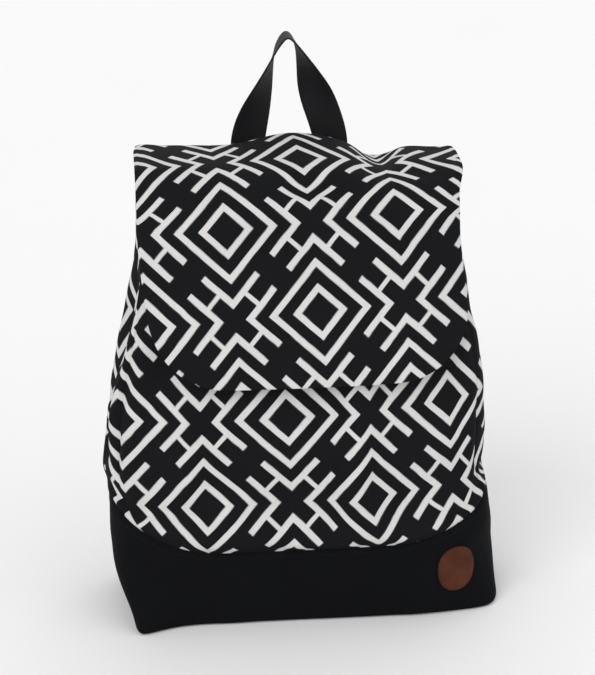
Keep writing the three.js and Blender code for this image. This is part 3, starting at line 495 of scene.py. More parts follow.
# Pulls on the corners of the base: how far in X and in Y, their place round the bag, their width, and how fast they
# fade upwards. The right corner is pressed in at the patch as well.
CORNER_PULLS = (
    (0.006, 0, -1.12, 0.30, 1),
    (0.003, 0, 1.05, 0.30, 1),
    (0.017, 0, -0.92, 0.24, 2),
    (0, -0.024, -0.74, 0.17, 1),
    (0, -0.010, 0.84, 0.16, 2),
)
PATCH_PRESS, PATCH_PRESS_HEIGHT, PATCH_PRESS_TOP = 0.030, (0.036, 0.028), (-0.034, -0.004)
PRESSED_FROM, PRESSED_TO, BULGE, BULGE_FROM = (0.42, 0.86), (0.95, 1.25), 0.3, (0.30, 0.44)

# Lining: its gap to the canvas, and how its floor lies
LINING_GAP, LINING_FLOOR_DROP, LINING_FLOOR_REACH = 0.0012, 0.001, 0.06
LEVEL = np.array([1, 1, 0])


def ease(t):
    return (1 - np.cos(np.pi * np.clip(t, 0, 1))) / 2


def between(base, belly, mouth, height):
    height = np.asarray(height, float)
    lower = base + (belly - base) * ease(height / BELLY_HEIGHT)
    upper = belly + (mouth - belly) * ease((height - BELLY_HEIGHT) / (MOUTH_HEIGHT - BELLY_HEIGHT))
    return np.where(height < BELLY_HEIGHT, lower, upper)


def half_width_at(height):
    return between(BASE_HALF_WIDTH, BELLY_HALF_WIDTH, MOUTH_HALF_WIDTH, height)


def front_depth_at(height):
    return between(BASE_FRONT, BELLY_FRONT, MOUTH_FRONT, height)


def quarter_oval(half_width, depth, roundness, share):
    """Points at shares of a quarter of a rounded oval's length, and that length, for each share's own roundness."""
    angle = np.linspace(0, np.pi / 2, OVAL_POINTS)
    roundness = np.broadcast_to(roundness, share.shape)
    found = np.zeros((3, len(share)))
    for power in np.unique(roundness):
        x = half_width * np.sin(angle) ** (2 / power)
        y = depth * np.maximum(np.cos(angle), 0) ** (2 / power)
        length = np.concatenate([[0], np.cumsum(np.hypot(np.diff(x), np.diff(y)))])
        here = roundness == power
        wanted = share[here] * length[-1]
        found[0, here] = np.interp(wanted, length, x)
        found[1, here] = np.interp(wanted, length, y)
        found[2, here] = length[-1]
    return found


def bag_rows(places, heights):
    """Points [place, height] of the bag's outline, and the length of cloth from the front middle.
    Places run from -2, the back middle, over -1 left, 0 front middle and 1 right, to 2."""
    places = np.asarray(places, float)
    side = np.where(places < 0, -1, 1)
    low, high = (np.where(places < 0, a, b) for a, b in zip(LEFT_ROUNDNESS, RIGHT_ROUNDNESS))
    around = np.abs(places)
    on_front = around <= 1
    points = np.zeros((len(places), len(heights), 3))
    cloth = np.zeros((len(places), len(heights)))
    for k, height in enumerate(heights):
        roundness = low + (high - low) * min(max(height / (BAND_HEIGHT + BAND_SIDE_RISE), 0), 1)
        width = float(half_width_at(height))
        fx, fy, front_length = quarter_oval(width, float(front_depth_at(height)), roundness, np.clip(around, 0, 1))
        bx, by, back_length = quarter_oval(width, BACK_DEPTH, BACK_ROUNDNESS, np.clip(2 - around, 0, 1))
        points[:, k, 0] = side * np.where(on_front, fx, bx)
        points[:, k, 1] = np.where(on_front, -fy, by)
        points[:, k, 2] = height
        cloth[:, k] = side * np.where(on_front, around * front_length, front_length + (around - 1) * back_length)
    return points, cloth


def spaced(start, end, pitch, fine):
    """Values from start to end about a pitch apart, closer together next to both ends."""
    count = max(int(round((end - start) / pitch)), 2)
    inner = np.linspace(start, end, count + 1)[1:-1]
    close = np.array(fine)
    clear = close[-1] * 1.4
    inner = inner[(inner - start > clear) & (end - inner > clear)]
    return np.concatenate([[start], start + close, inner, end - close[::-1], [end]])


def seam_columns():
    """Places round the whole bag, with each seam on a column and finer columns beside it."""
    right = np.concatenate([
        spaced(0.0, FRONT_SEAM, FRONT_STEP, BESIDE_SEAM)[2:],
        spaced(FRONT_SEAM, BACK_SEAM, SIDE_STEP, BESIDE_SEAM)[1:],
        spaced(BACK_SEAM, 2.0, BACK_STEP, BESIDE_SEAM)[1:-2],
    ])
    return np.concatenate([[-2.0], -right[::-1], [0.0], right])


columns = seam_columns()
cut_heights = np.linspace(0, MOUTH_HEIGHT, CUT_ROWS)
cut_points, cut_cloth = bag_rows(columns, cut_heights)


def seam_height(places):
    """Height of the seam above the band, which climbs from the front to the sides and the back."""
    return BAND_HEIGHT + BAND_SIDE_RISE * smoothstep(np.abs(places), BAND_LEVEL_SHARE, 1.0)


def sewn_heights(heights):
    """Heights [place, row] of the cut pieces, which follow the seam."""
    seam = seam_height(columns)[:, None]
    h = heights[None, :] + 0 * seam
    low = BOTTOM_ROLL + (seam - BOTTOM_ROLL) * (h - BOTTOM_ROLL) / (BAND_HEIGHT - BOTTOM_ROLL)
    high = seam + (MOUTH_HEIGHT - seam) * (h - BAND_HEIGHT) / (MOUTH_HEIGHT - BAND_HEIGHT)
    return np.where(h < BOTTOM_ROLL, h, np.where(h < BAND_HEIGHT, low, high))


def slack(h, seam, points):
    """How far the soft canvas stands out from its cut shape, at heights h and distances above the seam."""
    p = columns[:, None] + 0 * h
    around, left = np.abs(p), p < 0
    rise = smoothstep(h, *GUSSET_RISE)
    out = -np.where(left, *GUSSET_TUCK) * rise * hump(around, *TUCK_PLACE)
    out += GUSSET_EDGE * rise * hump(around, *EDGE_PLACE)
    for depth, place, slant, height, width, run in LEFT_CREASES:
        out -= depth * hump(p, place + slant * (h - height), width) * plateau(h, *run)
    sides = hump(around, *SIDE_PLACE)
    out += sides * np.where(left, *(humps(h, swell) for swell in SIDE_SWELLS))
    out -= sides * np.where(left, *SIDE_NIP) * hump(h, *NIP_HEIGHT)
    out += BAND_SWELL * (1 - sides) * smoothstep(seam, *BAND_SWELL_RISE) * hump(seam, *BAND_SWELL_HEIGHT)
    broad, folds, buckle = (cloth_noise(points, *field) for field in SLACK_NOISE)
    beside = hump(around, *BUCKLE_PLACE)
    upper = smoothstep(seam, *UPPER_RISE) * (1 - smoothstep(h, SLACK_TOP, MOUTH_HEIGHT))
    lower = 1 - smoothstep(seam, *LOWER_RISE)
    for part, (far, fold, bend), most in ((upper, UPPER_SLACK, FRONT_FOLDS + beside), (lower, LOWER_SLACK, 1)):
        out += part * (far * broad + fold * folds * most + bend * (buckle * beside))
    return out


def seam_dip(distance, depth):
    return -depth * np.maximum(1 - np.abs(distance) / SEAM_DIP_WIDTH, 0) ** 2


def soft_bag(heights, seams):
    """Points [place, row] of the outer face, and the length and height of cloth there, with dips at upright seams."""
    z = sewn_heights(heights)
    points, cloth = np.zeros((*z.shape, 3)), np.zeros(z.shape)
    for c in range(len(columns)):
        cloth[c] = np.interp(z[c], cut_heights, cut_cloth[c])
        for k in range(3):
            points[c, :, k] = np.interp(z[c], cut_heights, cut_points[c, :, k])
    outward = grid_normals(points, ring=True)
    above = z - seam_height(columns)[:, None]
    out = slack(z, above, points)
    for seam in seams:
        out += seam_dip((columns[:, None] - seam) * CLOTH_PER_PLACE, SIDE_SEAM_DIP)
    out += seam_dip(above, BAND_SEAM_DIP)
    return points + outward * out[..., None], np.stack([cloth, z], -1)


def spread(moved, some_columns, some_rows, heights):
    """Moves of some points, spread to every column and row and smoothed."""
    tall = np.stack([[np.interp(heights, heights[some_rows], one[:, k]) for k in range(3)] for one in moved])
    full = np.zeros((len(columns), len(heights), 3))
    for k in range(3):
        for row in range(len(heights)):
            full[:, row, k] = np.interp(columns, columns[some_columns], tall[:, k, row], period=4)
    for _ in range(SAG_SMOOTHING):
        full = (np.roll(full, 1, axis=0) + 2 * full + np.roll(full, -1, axis=0)) / 4
        full[:, 1:-1] = (full[:, :-2] + 2 * full[:, 1:-1] + full[:, 2:]) / 4
    return full


def sag(points, heights):
    """Let the canvas between the band and the mouth sag: cloth cut a little larger than its place, sewn at the band
    and held at the mouth. Gives how far each point moves, capped."""
    some_columns = np.arange(0, len(columns), SAG_STEP)
    some_rows = np.unique([*range(0, len(heights), SAG_STEP), len(heights) - 1])
    start = points[some_columns][:, some_rows]
    index = np.arange(start.size // 3).reshape(start.shape[:2])
    faces = faces_between(index, np.roll(index, -1, axis=0))
    mesh = bpy.data.meshes.new("canvas")
    mesh.from_pydata(start.reshape(-1, 3).tolist(), [], faces.tolist())
    canvas = linked("canvas", mesh)
    sewn = canvas.vertex_groups.new(name="sewn")
    sewn.add(np.concatenate([index[:, 0], index[:, -1]]).tolist(), 1.0, "REPLACE")
    cloth = canvas.modifiers.new("cloth", "CLOTH")
    for name, setting in CANVAS_CLOTH.items():
        setattr(cloth.settings, name, setting)
    cloth.collision_settings.use_collision = False
    cloth.point_cache.frame_end = SAG_FRAMES
    for step in range(1, SAG_FRAMES + 1):
        scene.frame_set(step)
    settled = np.zeros(start.size, np.float32)
    baked(canvas).vertices.foreach_get("co", settled)
    scene.frame_set(1)
    moved = settled.reshape(start.shape) - start
    outward = grid_normals(start, ring=True)
    out = (moved * outward).sum(-1, keepdims=True)
    beside = moved - outward * out
    out = np.where(out > 0, MOST_OUT * np.tanh(out / MOST_OUT), MOST_IN * np.tanh(out / MOST_IN))
    moved = outward * out + MOST_ALONG * np.tanh(beside / MOST_ALONG)
    held = plateau(heights, BAND_HEIGHT, BAND_HEIGHT + SAG_FADE, MOUTH_HEIGHT - SAG_FADE, MOUTH_HEIGHT)
    return spread(moved, some_columns, some_rows, heights) * held[None, :, None]


def pull_corners(points):
    """The front corners of the base: the left one is pulled to a point, and the right one pressed in at the patch."""
    x, y, z = points[..., 0], points[..., 1], points[..., 2]
    place = columns[:, None]
    low = 1 - smoothstep(z, 0.0, BAND_HEIGHT)
    for to_right, to_back, middle, width, fade in CORNER_PULLS:
        pull = hump(place, middle, width) * low**fade
        x += to_right * pull
        y += to_back * pull
    pressed = smoothstep(place, *PRESSED_FROM) - BULGE * smoothstep(place, *BULGE_FROM)
    pressed = pressed * (1 - smoothstep(place, *PRESSED_TO))
    held = 1 - smoothstep(z - seam_height(place), *PATCH_PRESS_TOP)
    y += PATCH_PRESS * pressed * held * hump(z, *PATCH_PRESS_HEIGHT)
    return points


def panel(name, points, cloth, first, last, material, origin=(0, 0), turn=0.0):
    """One cut piece of the bag between two seams, as a closed sheet."""
    near = np.argmin(np.abs(columns - first))
    far = np.argmin(np.abs(columns - last))
    if first < last:
        chosen = np.arange(near, far + 1)
    else:
        chosen = np.concatenate([np.arange(near, len(columns)), np.arange(0, far + 1)])
    outward = grid_normals(points, ring=True)
    outer = points[chosen]
    inner = outer - outward[chosen] * CANVAS
    inner[..., 2] = np.maximum(inner[..., 2], CANVAS / 4)
    across, height = cloth[chosen][..., 0], cloth[chosen][..., 1]
    if first > last:
        to_left = np.interp(height, cut_heights, cut_cloth[0])
        to_right = np.interp(height, cut_heights, bag_rows([2.0], cut_heights)[1][0])
        across = np.where(across < 0, across - to_left, across - to_right)
    return closed_sheet(name, outer, inner, laid_on(across, height, origin, turn), material)


upper_heights = spaced(BAND_HEIGHT, MOUTH_HEIGHT, UPPER_ROW, BESIDE_EDGE)
upper, upper_cloth = soft_bag(upper_heights, UPPER_SEAMS)
upper = upper + sag(upper, upper_heights)
front_panel = panel("front_cloth", upper, upper_cloth, -FRONT_SEAM, FRONT_SEAM, PRINTED, BODY_PRINT, BODY_TURN)
left_gusset = panel("left_gusset_cloth", upper, upper_cloth, -BACK_SEAM, -FRONT_SEAM, PRINTED, BODY_PRINT, BODY_TURN)
right_gusset = panel("right_gusset_cloth", upper, upper_cloth, FRONT_SEAM, BACK_SEAM, PRINTED, BODY_PRINT, BODY_TURN)
back_panel = panel("back_cloth", upper, upper_cloth, BACK_SEAM, -BACK_SEAM, PRINTED, BACK_PRINT, BACK_TURN)

band_heights = spaced(BOTTOM_ROLL, BAND_HEIGHT, BAND_ROW, BESIDE_EDGE)
roll = np.linspace(0, np.pi / 2, ROLL_ROWS + 1)[:-1]
all_heights = np.concatenate([BOTTOM_ROLL * (1 - np.cos(roll)), band_heights])
band, band_cloth = soft_bag(all_heights, BAND_SEAMS)
band = pull_corners(band)
inset = np.concatenate([BOTTOM_ROLL * (1 - np.sin(roll)), np.zeros(len(band_heights))])
band = band - grid_normals(band, ring=True) * LEVEL * inset[None, :, None]
base_front = panel("base_front_cloth", band, band_cloth, -BACK_SEAM, BACK_SEAM, PLAIN)
base_back = panel("base_back_cloth", band, band_cloth, BACK_SEAM, -BACK_SEAM, PLAIN)


def base_bottom_cloth():
    """The bottom of the bag, flat on the floor, sewn to the rolled lower edge of the band."""
    shares = np.array([0.12, 0.3, 0.5, 0.7, 0.85, 0.95, 0.985, 1.0])
    outer = band[:, :1] * shares[None, :, None] * LEVEL
    inner = outer + (0, 0, CANVAS)
    poles = [(0, 0, 0), (0, 0, CANVAS), (0, 0)]
    return closed_sheet("base_bottom_cloth", outer, inner, outer[..., :2], PLAIN, ring=True, poles=poles)


base_bottom = base_bottom_cloth()


def lining_bag():
    """The lining follows the inside of the canvas and closes over the bottom."""
    heights = np.concatenate([all_heights[ROLL_ROWS:], upper_heights[1:]])
    wall = np.concatenate([band[:, ROLL_ROWS:], upper[:, 1:]], axis=1)
    cloth = np.concatenate([band_cloth[:, ROLL_ROWS:, 0], upper_cloth[:, 1:, 0]], axis=1)
    keep = np.unique([*range(0, len(heights), 2), len(heights) - 1])
    wall, cloth, heights = wall[::2][:, keep], cloth[::2][:, keep], heights[keep]
    outward = grid_normals(wall, ring=True) * LEVEL
    outside = wall - outward * (CANVAS + LINING_GAP)
    shares = np.array([0.1, 0.4, 0.7, 0.9, 0.98])
    floor = outside[:, :1] * shares[None, :, None]
    floor[..., 2] = outside[:, :1, 2] - LINING_FLOOR_DROP
    downward = np.tile([0, 0, -1.0], (*floor.shape[:2], 1))
    outside = np.concatenate([floor, outside], axis=1)
    inside = outside - np.concatenate([downward, outward], axis=1) * LINING
    along = np.concatenate([heights[0] - (1 - shares) * LINING_FLOOR_REACH, heights])
    across = np.concatenate([cloth[:, :1] * shares, cloth], axis=1)
    uv = np.stack([across, along[None, :] + 0 * across], -1)
    middle = floor[..., 2].mean()
    poles = [(0, 0, middle), (0, 0, middle + LINING), (0, heights[0] - LINING_FLOOR_REACH)]
    return closed_sheet("lining_cloth_bag", outside, inside, uv, LINED, ring=True, poles=poles)


lining = lining_bag()


# Flap

FURROW_DEPTH, FURROW_ALONG, FURROW_ACROSS = 0.0075, (0.148, 0.170), (0.012, 0.045)
FLAP_SWING, SWING_END, FLAP_STRETCH = 0.0065, (0.03, 0.12), 1.02
FLAP_SPREAD, SPREAD_FROM = 0.005, (0.085, 0.125)
LEFT_RIDGE, LEFT_RIDGE_FROM = 0.0045, (0.03, 0.11)
HEM_TURN, HEM_EDGE, HEM_DIP, HEM_SEAM = 0.0007, (0.0, 0.003), 0.0003, (0.005, 0.0018)

# Distances along the flap: its free end, where it lies over the mouth, and the ridge at the back of its top
FREE_END, OVER_MOUTH, RIDGE = (0.02, 0.12), (0.155, 0.195, 0.252, 0.283), (0.180, 0.240, 0.250, 0.283)

# Uneven cloth all over and at the free end: how far out, how often it comes in X, Y and Z, and a start
FLAP_UNEVEN, FLAP_NOISE = 0.0016, ((12.0, 8.0, 12.0), 5.1)
FREE_UNEVEN, FREE_NOISE = 0.0016, ((22.0, 8.0, 10.0), 31.7)
FREE_WAVE, FREE_WAVE_RATE, FREE_WAVE_START = 0.0012, 46, 0.6

# Waves of the flap: how far out, where across and how wide, where along and how long. They are a lifted left corner,
# a furrow above the front and a sunk right shoulder.
FLAP_WAVES = (
    (0.0045, -0.118, 0.030, 0.030, 0.035),
    (-FURROW_DEPTH, 0.012, 0.034, 0.158, 0.013),
    (-0.0065, 0.078, 0.040, 0.182, 0.022),
)
# Waves over the mouth, and of the ridge behind it: how far out, where across and how wide
TOP_WAVES = ((-0.004, 0.067, 0.02), (-0.0035, 0.112, 0.02), (-0.0015, -0.045, 0.03), (0.003, -0.122, 0.014))
RIDGE_WAVES = ((0.009, 0.0, 0.042), (-0.0095, 0.068, 0.016))

# Rows and columns of the flap's grid, closer together in its corners and beside its edges
CORNER_ROWS, FLAP_ROWS, FLAP_COLUMNS, FLAP_INNER = 30, 88, 75, 0.89
BESIDE_HEM = np.array([0, 0.004, 0.012, 0.024, 0.04, 0.055, 0.066, 0.078, 0.09])


def flap_line():
    """Middle line of the flap in Y and Z from its lower front edge over the mouth to the back, and its length."""
    bend = FLAP_TOP - FLAP_FRONT_RADIUS

    def front_at(z):
        return -(front_depth_at(z) + FLAP_CLEARANCE + FLAP_THICKNESS)

    z = np.linspace(FLAP_LOW, bend, 80)
    front = np.stack([front_at(z), z], -1)
    turn = np.linspace(np.pi, np.pi / 2, 60)[1:]
    centre = front_at(bend) + FLAP_FRONT_RADIUS
    over = np.stack([centre + FLAP_FRONT_RADIUS * np.cos(turn), bend + FLAP_FRONT_RADIUS * np.sin(turn)], -1)
    turn = np.linspace(np.pi / 2, 0, 60)
    behind = np.stack([
        BACK_DEPTH - FLAP_BACK_RADIUS + FLAP_BACK_RADIUS * np.cos(turn),
        FLAP_TOP - FLAP_BACK_RADIUS + FLAP_BACK_RADIUS * np.sin(turn),
    ], -1)
    flat = np.linspace(over[-1], behind[0], 40)[1:-1]
    line = np.concatenate([front, over, flat, behind])
    return line, lengths_along(line)


FLAP_LINE, FLAP_ALONG = flap_line()
FLAP_LENGTH = FLAP_ALONG[-1]


def on_flap_line(along):
    """Y and Z of the flap's middle line at a distance along it."""
    return [np.interp(along, FLAP_ALONG, FLAP_LINE[:, k]) for k in range(2)]


def flap_half_width(along):
    widens = smoothstep(FLAP_LENGTH - along, 0, 2 * FLAP_BACK_RADIUS)
    full = FLAP_ROOT_HALF_WIDTH + (FLAP_HALF_WIDTH - FLAP_ROOT_HALF_WIDTH) * widens
    into = np.clip(FLAP_CORNER - along, 0, FLAP_CORNER)
    return full - FLAP_CORNER + np.sqrt(FLAP_CORNER**2 - into**2)


def flap_points(x, along):
    """Outer face of the flap at a distance x from its middle line and a distance along it."""
    step = 0.0015
    y, z = on_flap_line(along)
    ty, tz = (ahead - behind for ahead, behind in zip(on_flap_line(along + step), on_flap_line(along - step)))
    size = np.hypot(ty, tz)
    ty, tz = ty / size, tz / size
    reach = np.maximum(half_width_at(z), FLAP_HALF_WIDTH) + FLAP_OVERHANG
    round_off = 1 - (1 - np.abs(x / reach) ** FRONT_ROUNDNESS) ** (1 / FRONT_ROUNDNESS)
    on_front, to_root = np.clip(tz, 0, 1), np.clip(-tz, 0, 1)
    fall = (FLAP_DROOP + (front_depth_at(z) - FLAP_DROOP) * on_front) * (1 - to_root) * round_off
    points = np.stack([x + 0 * y, y + tz * fall, z - ty * fall], -1)
    outward = np.stack([0 * y, -tz, ty], -1)
    return points, outward


def flap_slack(x, along, points, hem):
    """How far the soft flap stands out from its cut shape: free end, waves, arched ridge and turned hem."""
    free = 1 - smoothstep(along, *FREE_END)
    wave = FREE_WAVE * np.sin(x * FREE_WAVE_RATE + FREE_WAVE_START)
    out = FLAP_UNEVEN * cloth_noise(points, *FLAP_NOISE)
    out += free * (wave + FREE_UNEVEN * cloth_noise(points, *FREE_NOISE))
    for height, across, width, place, length in FLAP_WAVES:
        out += height * hump(x, across, width) * hump(along, place, length)
    out += humps(x, *TOP_WAVES) * plateau(along, *OVER_MOUTH)
    out += (LEFT_RIDGE * smoothstep(-x, *LEFT_RIDGE_FROM) + humps(x, *RIDGE_WAVES)) * plateau(along, *RIDGE)
    out -= HEM_TURN * (1 - smoothstep(hem, *HEM_EDGE)) + HEM_DIP * hump(hem, *HEM_SEAM)
    return out


def flap_edge_distance(x, along):
    """Distance in the flat cloth from the flap's free edge."""
    half = flap_half_width(np.maximum(along, FLAP_CORNER))
    side = half - np.abs(x)
    cx, cy = half - FLAP_CORNER - np.abs(x), FLAP_CORNER - along
    corner = FLAP_CORNER - np.hypot(np.minimum(cx, 0), np.maximum(cy, 0))
    return np.where((cx < 0) & (cy > 0), corner, np.minimum(side, along))


def flap_swing(along):
    """How far the flap's free end hangs to the right."""
    return FLAP_SWING * (1 - smoothstep(along, *SWING_END))


def flap_face(x, along):
    swung = x + flap_swing(along)
    points, outward = flap_points(swung, along)
    out = flap_slack(swung, along, points, flap_edge_distance(x, along))
    points = points + outward * out[..., None]
    points[..., 0] += FLAP_SPREAD * plateau(along, *OVER_MOUTH) * smoothstep(x, *SPREAD_FROM)
    return points, outward


def flap_cloth():
    corner = FLAP_CORNER * (1 - np.cos(np.linspace(0, np.pi / 2, CORNER_ROWS)))
    along = np.concatenate([corner, np.linspace(FLAP_CORNER, FLAP_LENGTH, FLAP_ROWS)[1:]])
    middle = np.linspace(-FLAP_INNER, FLAP_INNER, FLAP_COLUMNS)
    across = np.concatenate([-1 + BESIDE_HEM, middle, 1 - BESIDE_HEM[::-1]])
    x = across[:, None] * flap_half_width(along)[None, :]
    s = along[None, :] + 0 * x
    outer, _ = flap_face(x, s)
    inner = outer - grid_normals(outer) * FLAP_THICKNESS
    taken_up = FURROW_DEPTH * smoothstep(s, *FURROW_ALONG) * hump(x, *FURROW_ACROSS)
    uv = laid_on((x + flap_swing(s)) * FLAP_STRETCH, s + taken_up, FLAP_PRINT, FLAP_TURN)
    return closed_sheet("flap_cloth", outer, inner, uv, PRINTED)


flap = flap_cloth()


# Webbing

# Upper half of a strip's section, in shares of its half width and half thickness
WEBBING_SECTION = ((-0.94, 1.0), (-0.7, 0.98), (-0.4, 0.98), (0, 0.98), (0.4, 0.98), (0.7, 0.98), (0.94, 1.0))
TO_BACK = np.array([0.0, 1.0, 0.0])
CURVE_STEPS, LOOP_POINTS = 40, 150

# Shares of the climb up the handle between which its right and its left leg twist
RIGHT_TWIST, LEFT_TWIST = (0.42, 1.0), (0.22, 0.98)

# Ends of the strap's return that don't stretch, and how the ring's tab is folded
RETURN_LOW_END, RETURN_HIGH_END = 0.008, 0.012
TAB_WRAP, TAB_LAYER_GAP, TAB_LIFT, TAB_FOOT, TAB_BEND = np.pi * 0.62, 0.0001, 0.0002, 0.004, 0.003


def strip(name, line, across, width=WEBBING_WIDTH):
    """Flat webbing along a line of points, with rounded edges. across gives the direction of its width."""
    along = unit(np.gradient(line, axis=0))
    across = unit(across - along * (across * along).sum(1, keepdims=True))
    through = np.cross(along, across)
    half, thick = width / 2, WEBBING_THICKNESS / 2
    top = [(half * w, thick * h) for w, h in WEBBING_SECTION]
    section = np.array([(-half, 0), *[(w, -h) for w, h in top], (half, 0), *top[::-1]])
    points = line[:, None] + across[:, None] * section[None, :, :1] + through[:, None] * section[None, :, 1:]
    uv = np.stack(np.broadcast_arrays(section[:, 0], lengths_along(line)[:, None]), -1)
    mesh = mesh_with_uv(name, points.reshape(-1, 3), tube_faces(len(line), len(section)), uv.reshape(-1, 2))
    mesh.set_sharp_from_angle(angle=STRIP_SHARP)
    return add_object(name, mesh, WEBBED)


def through_points(points, count):
    """A smooth curve through points, as evenly spaced points."""
    points = np.asarray(points, float)
    knots = np.concatenate([[0], np.cumsum(np.linalg.norm(np.diff(points, axis=0), axis=1) ** 0.5)])
    ends = np.concatenate([[2 * points[0] - points[1]], points, [2 * points[-1] - points[-2]]])
    times = np.concatenate([[2 * knots[0] - knots[1]], knots, [2 * knots[-1] - knots[-2]]])

    def mixed(t, start, end, before, after):
        return (end - t) / (end - start) * before + (t - start) / (end - start) * after

    dense = []
    for k in range(1, len(ends) - 2):
        t = np.linspace(times[k], times[k + 1], CURVE_STEPS, endpoint=k == len(ends) - 3)[:, None]
        t0, t1, t2, t3 = times[k - 1:k + 3]
        a1, a2, a3 = (mixed(t, times[i], times[i + 1], ends[i], ends[i + 1]) for i in range(k - 1, k + 2))
        dense.append(mixed(t, t1, t2, mixed(t, t0, t2, a1, a2), mixed(t, t1, t3, a2, a3)))
    line = np.concatenate(dense)
    length = lengths_along(line)
    wanted = np.linspace(0, length[-1], count)
    return np.stack([np.interp(wanted, length, line[:, k]) for k in range(3)], -1)


def handle_loop():
    back = BACK_DEPTH + SEAM_GAP + WEBBING_THICKNESS / 2
    top = FLAP_TOP + HANDLE_HEIGHT
    leg = [
        (HANDLE_HALF_SPAN, MOUTH_HEIGHT - HANDLE_SEWN),
        (HANDLE_HALF_SPAN, MOUTH_HEIGHT),
        (HANDLE_HALF_SPAN, FLAP_TOP),
        ((HANDLE_HALF_SPAN + HANDLE_TOP_RADIUS) / 2, (FLAP_TOP + top) / 2),
        (HANDLE_TOP_RADIUS, top - HANDLE_TOP_RADIUS),
    ]
    points = [(x, back, z) for x, z in leg] + [(0, back, top)] + [(-x, back, z) for x, z in leg[::-1]]
    line = through_points(points, LOOP_POINTS)
    along_loop = np.linspace(-1, 1, len(line))
    climb = 1 - np.abs(along_loop)
    twist = np.where(along_loop < 0, smoothstep(climb, *RIGHT_TWIST), smoothstep(climb, *LEFT_TWIST))
    turn = (twist * np.pi / 2)[:, None]
    sideways = np.cross(unit(np.gradient(line, axis=0)), TO_BACK)
    return strip("handle_webbing", line, sideways * np.cos(turn) + TO_BACK * np.sin(turn), HANDLE_WIDTH)


handle = handle_loop()


def bezier(p0, p1, p2, p3, count):
    t = np.linspace(0, 1, count)[:, None]
    return (1 - t) ** 3 * p0 + 3 * (1 - t) ** 2 * t * p1 + 3 * (1 - t) * t**2 * p2 + t**3 * p3


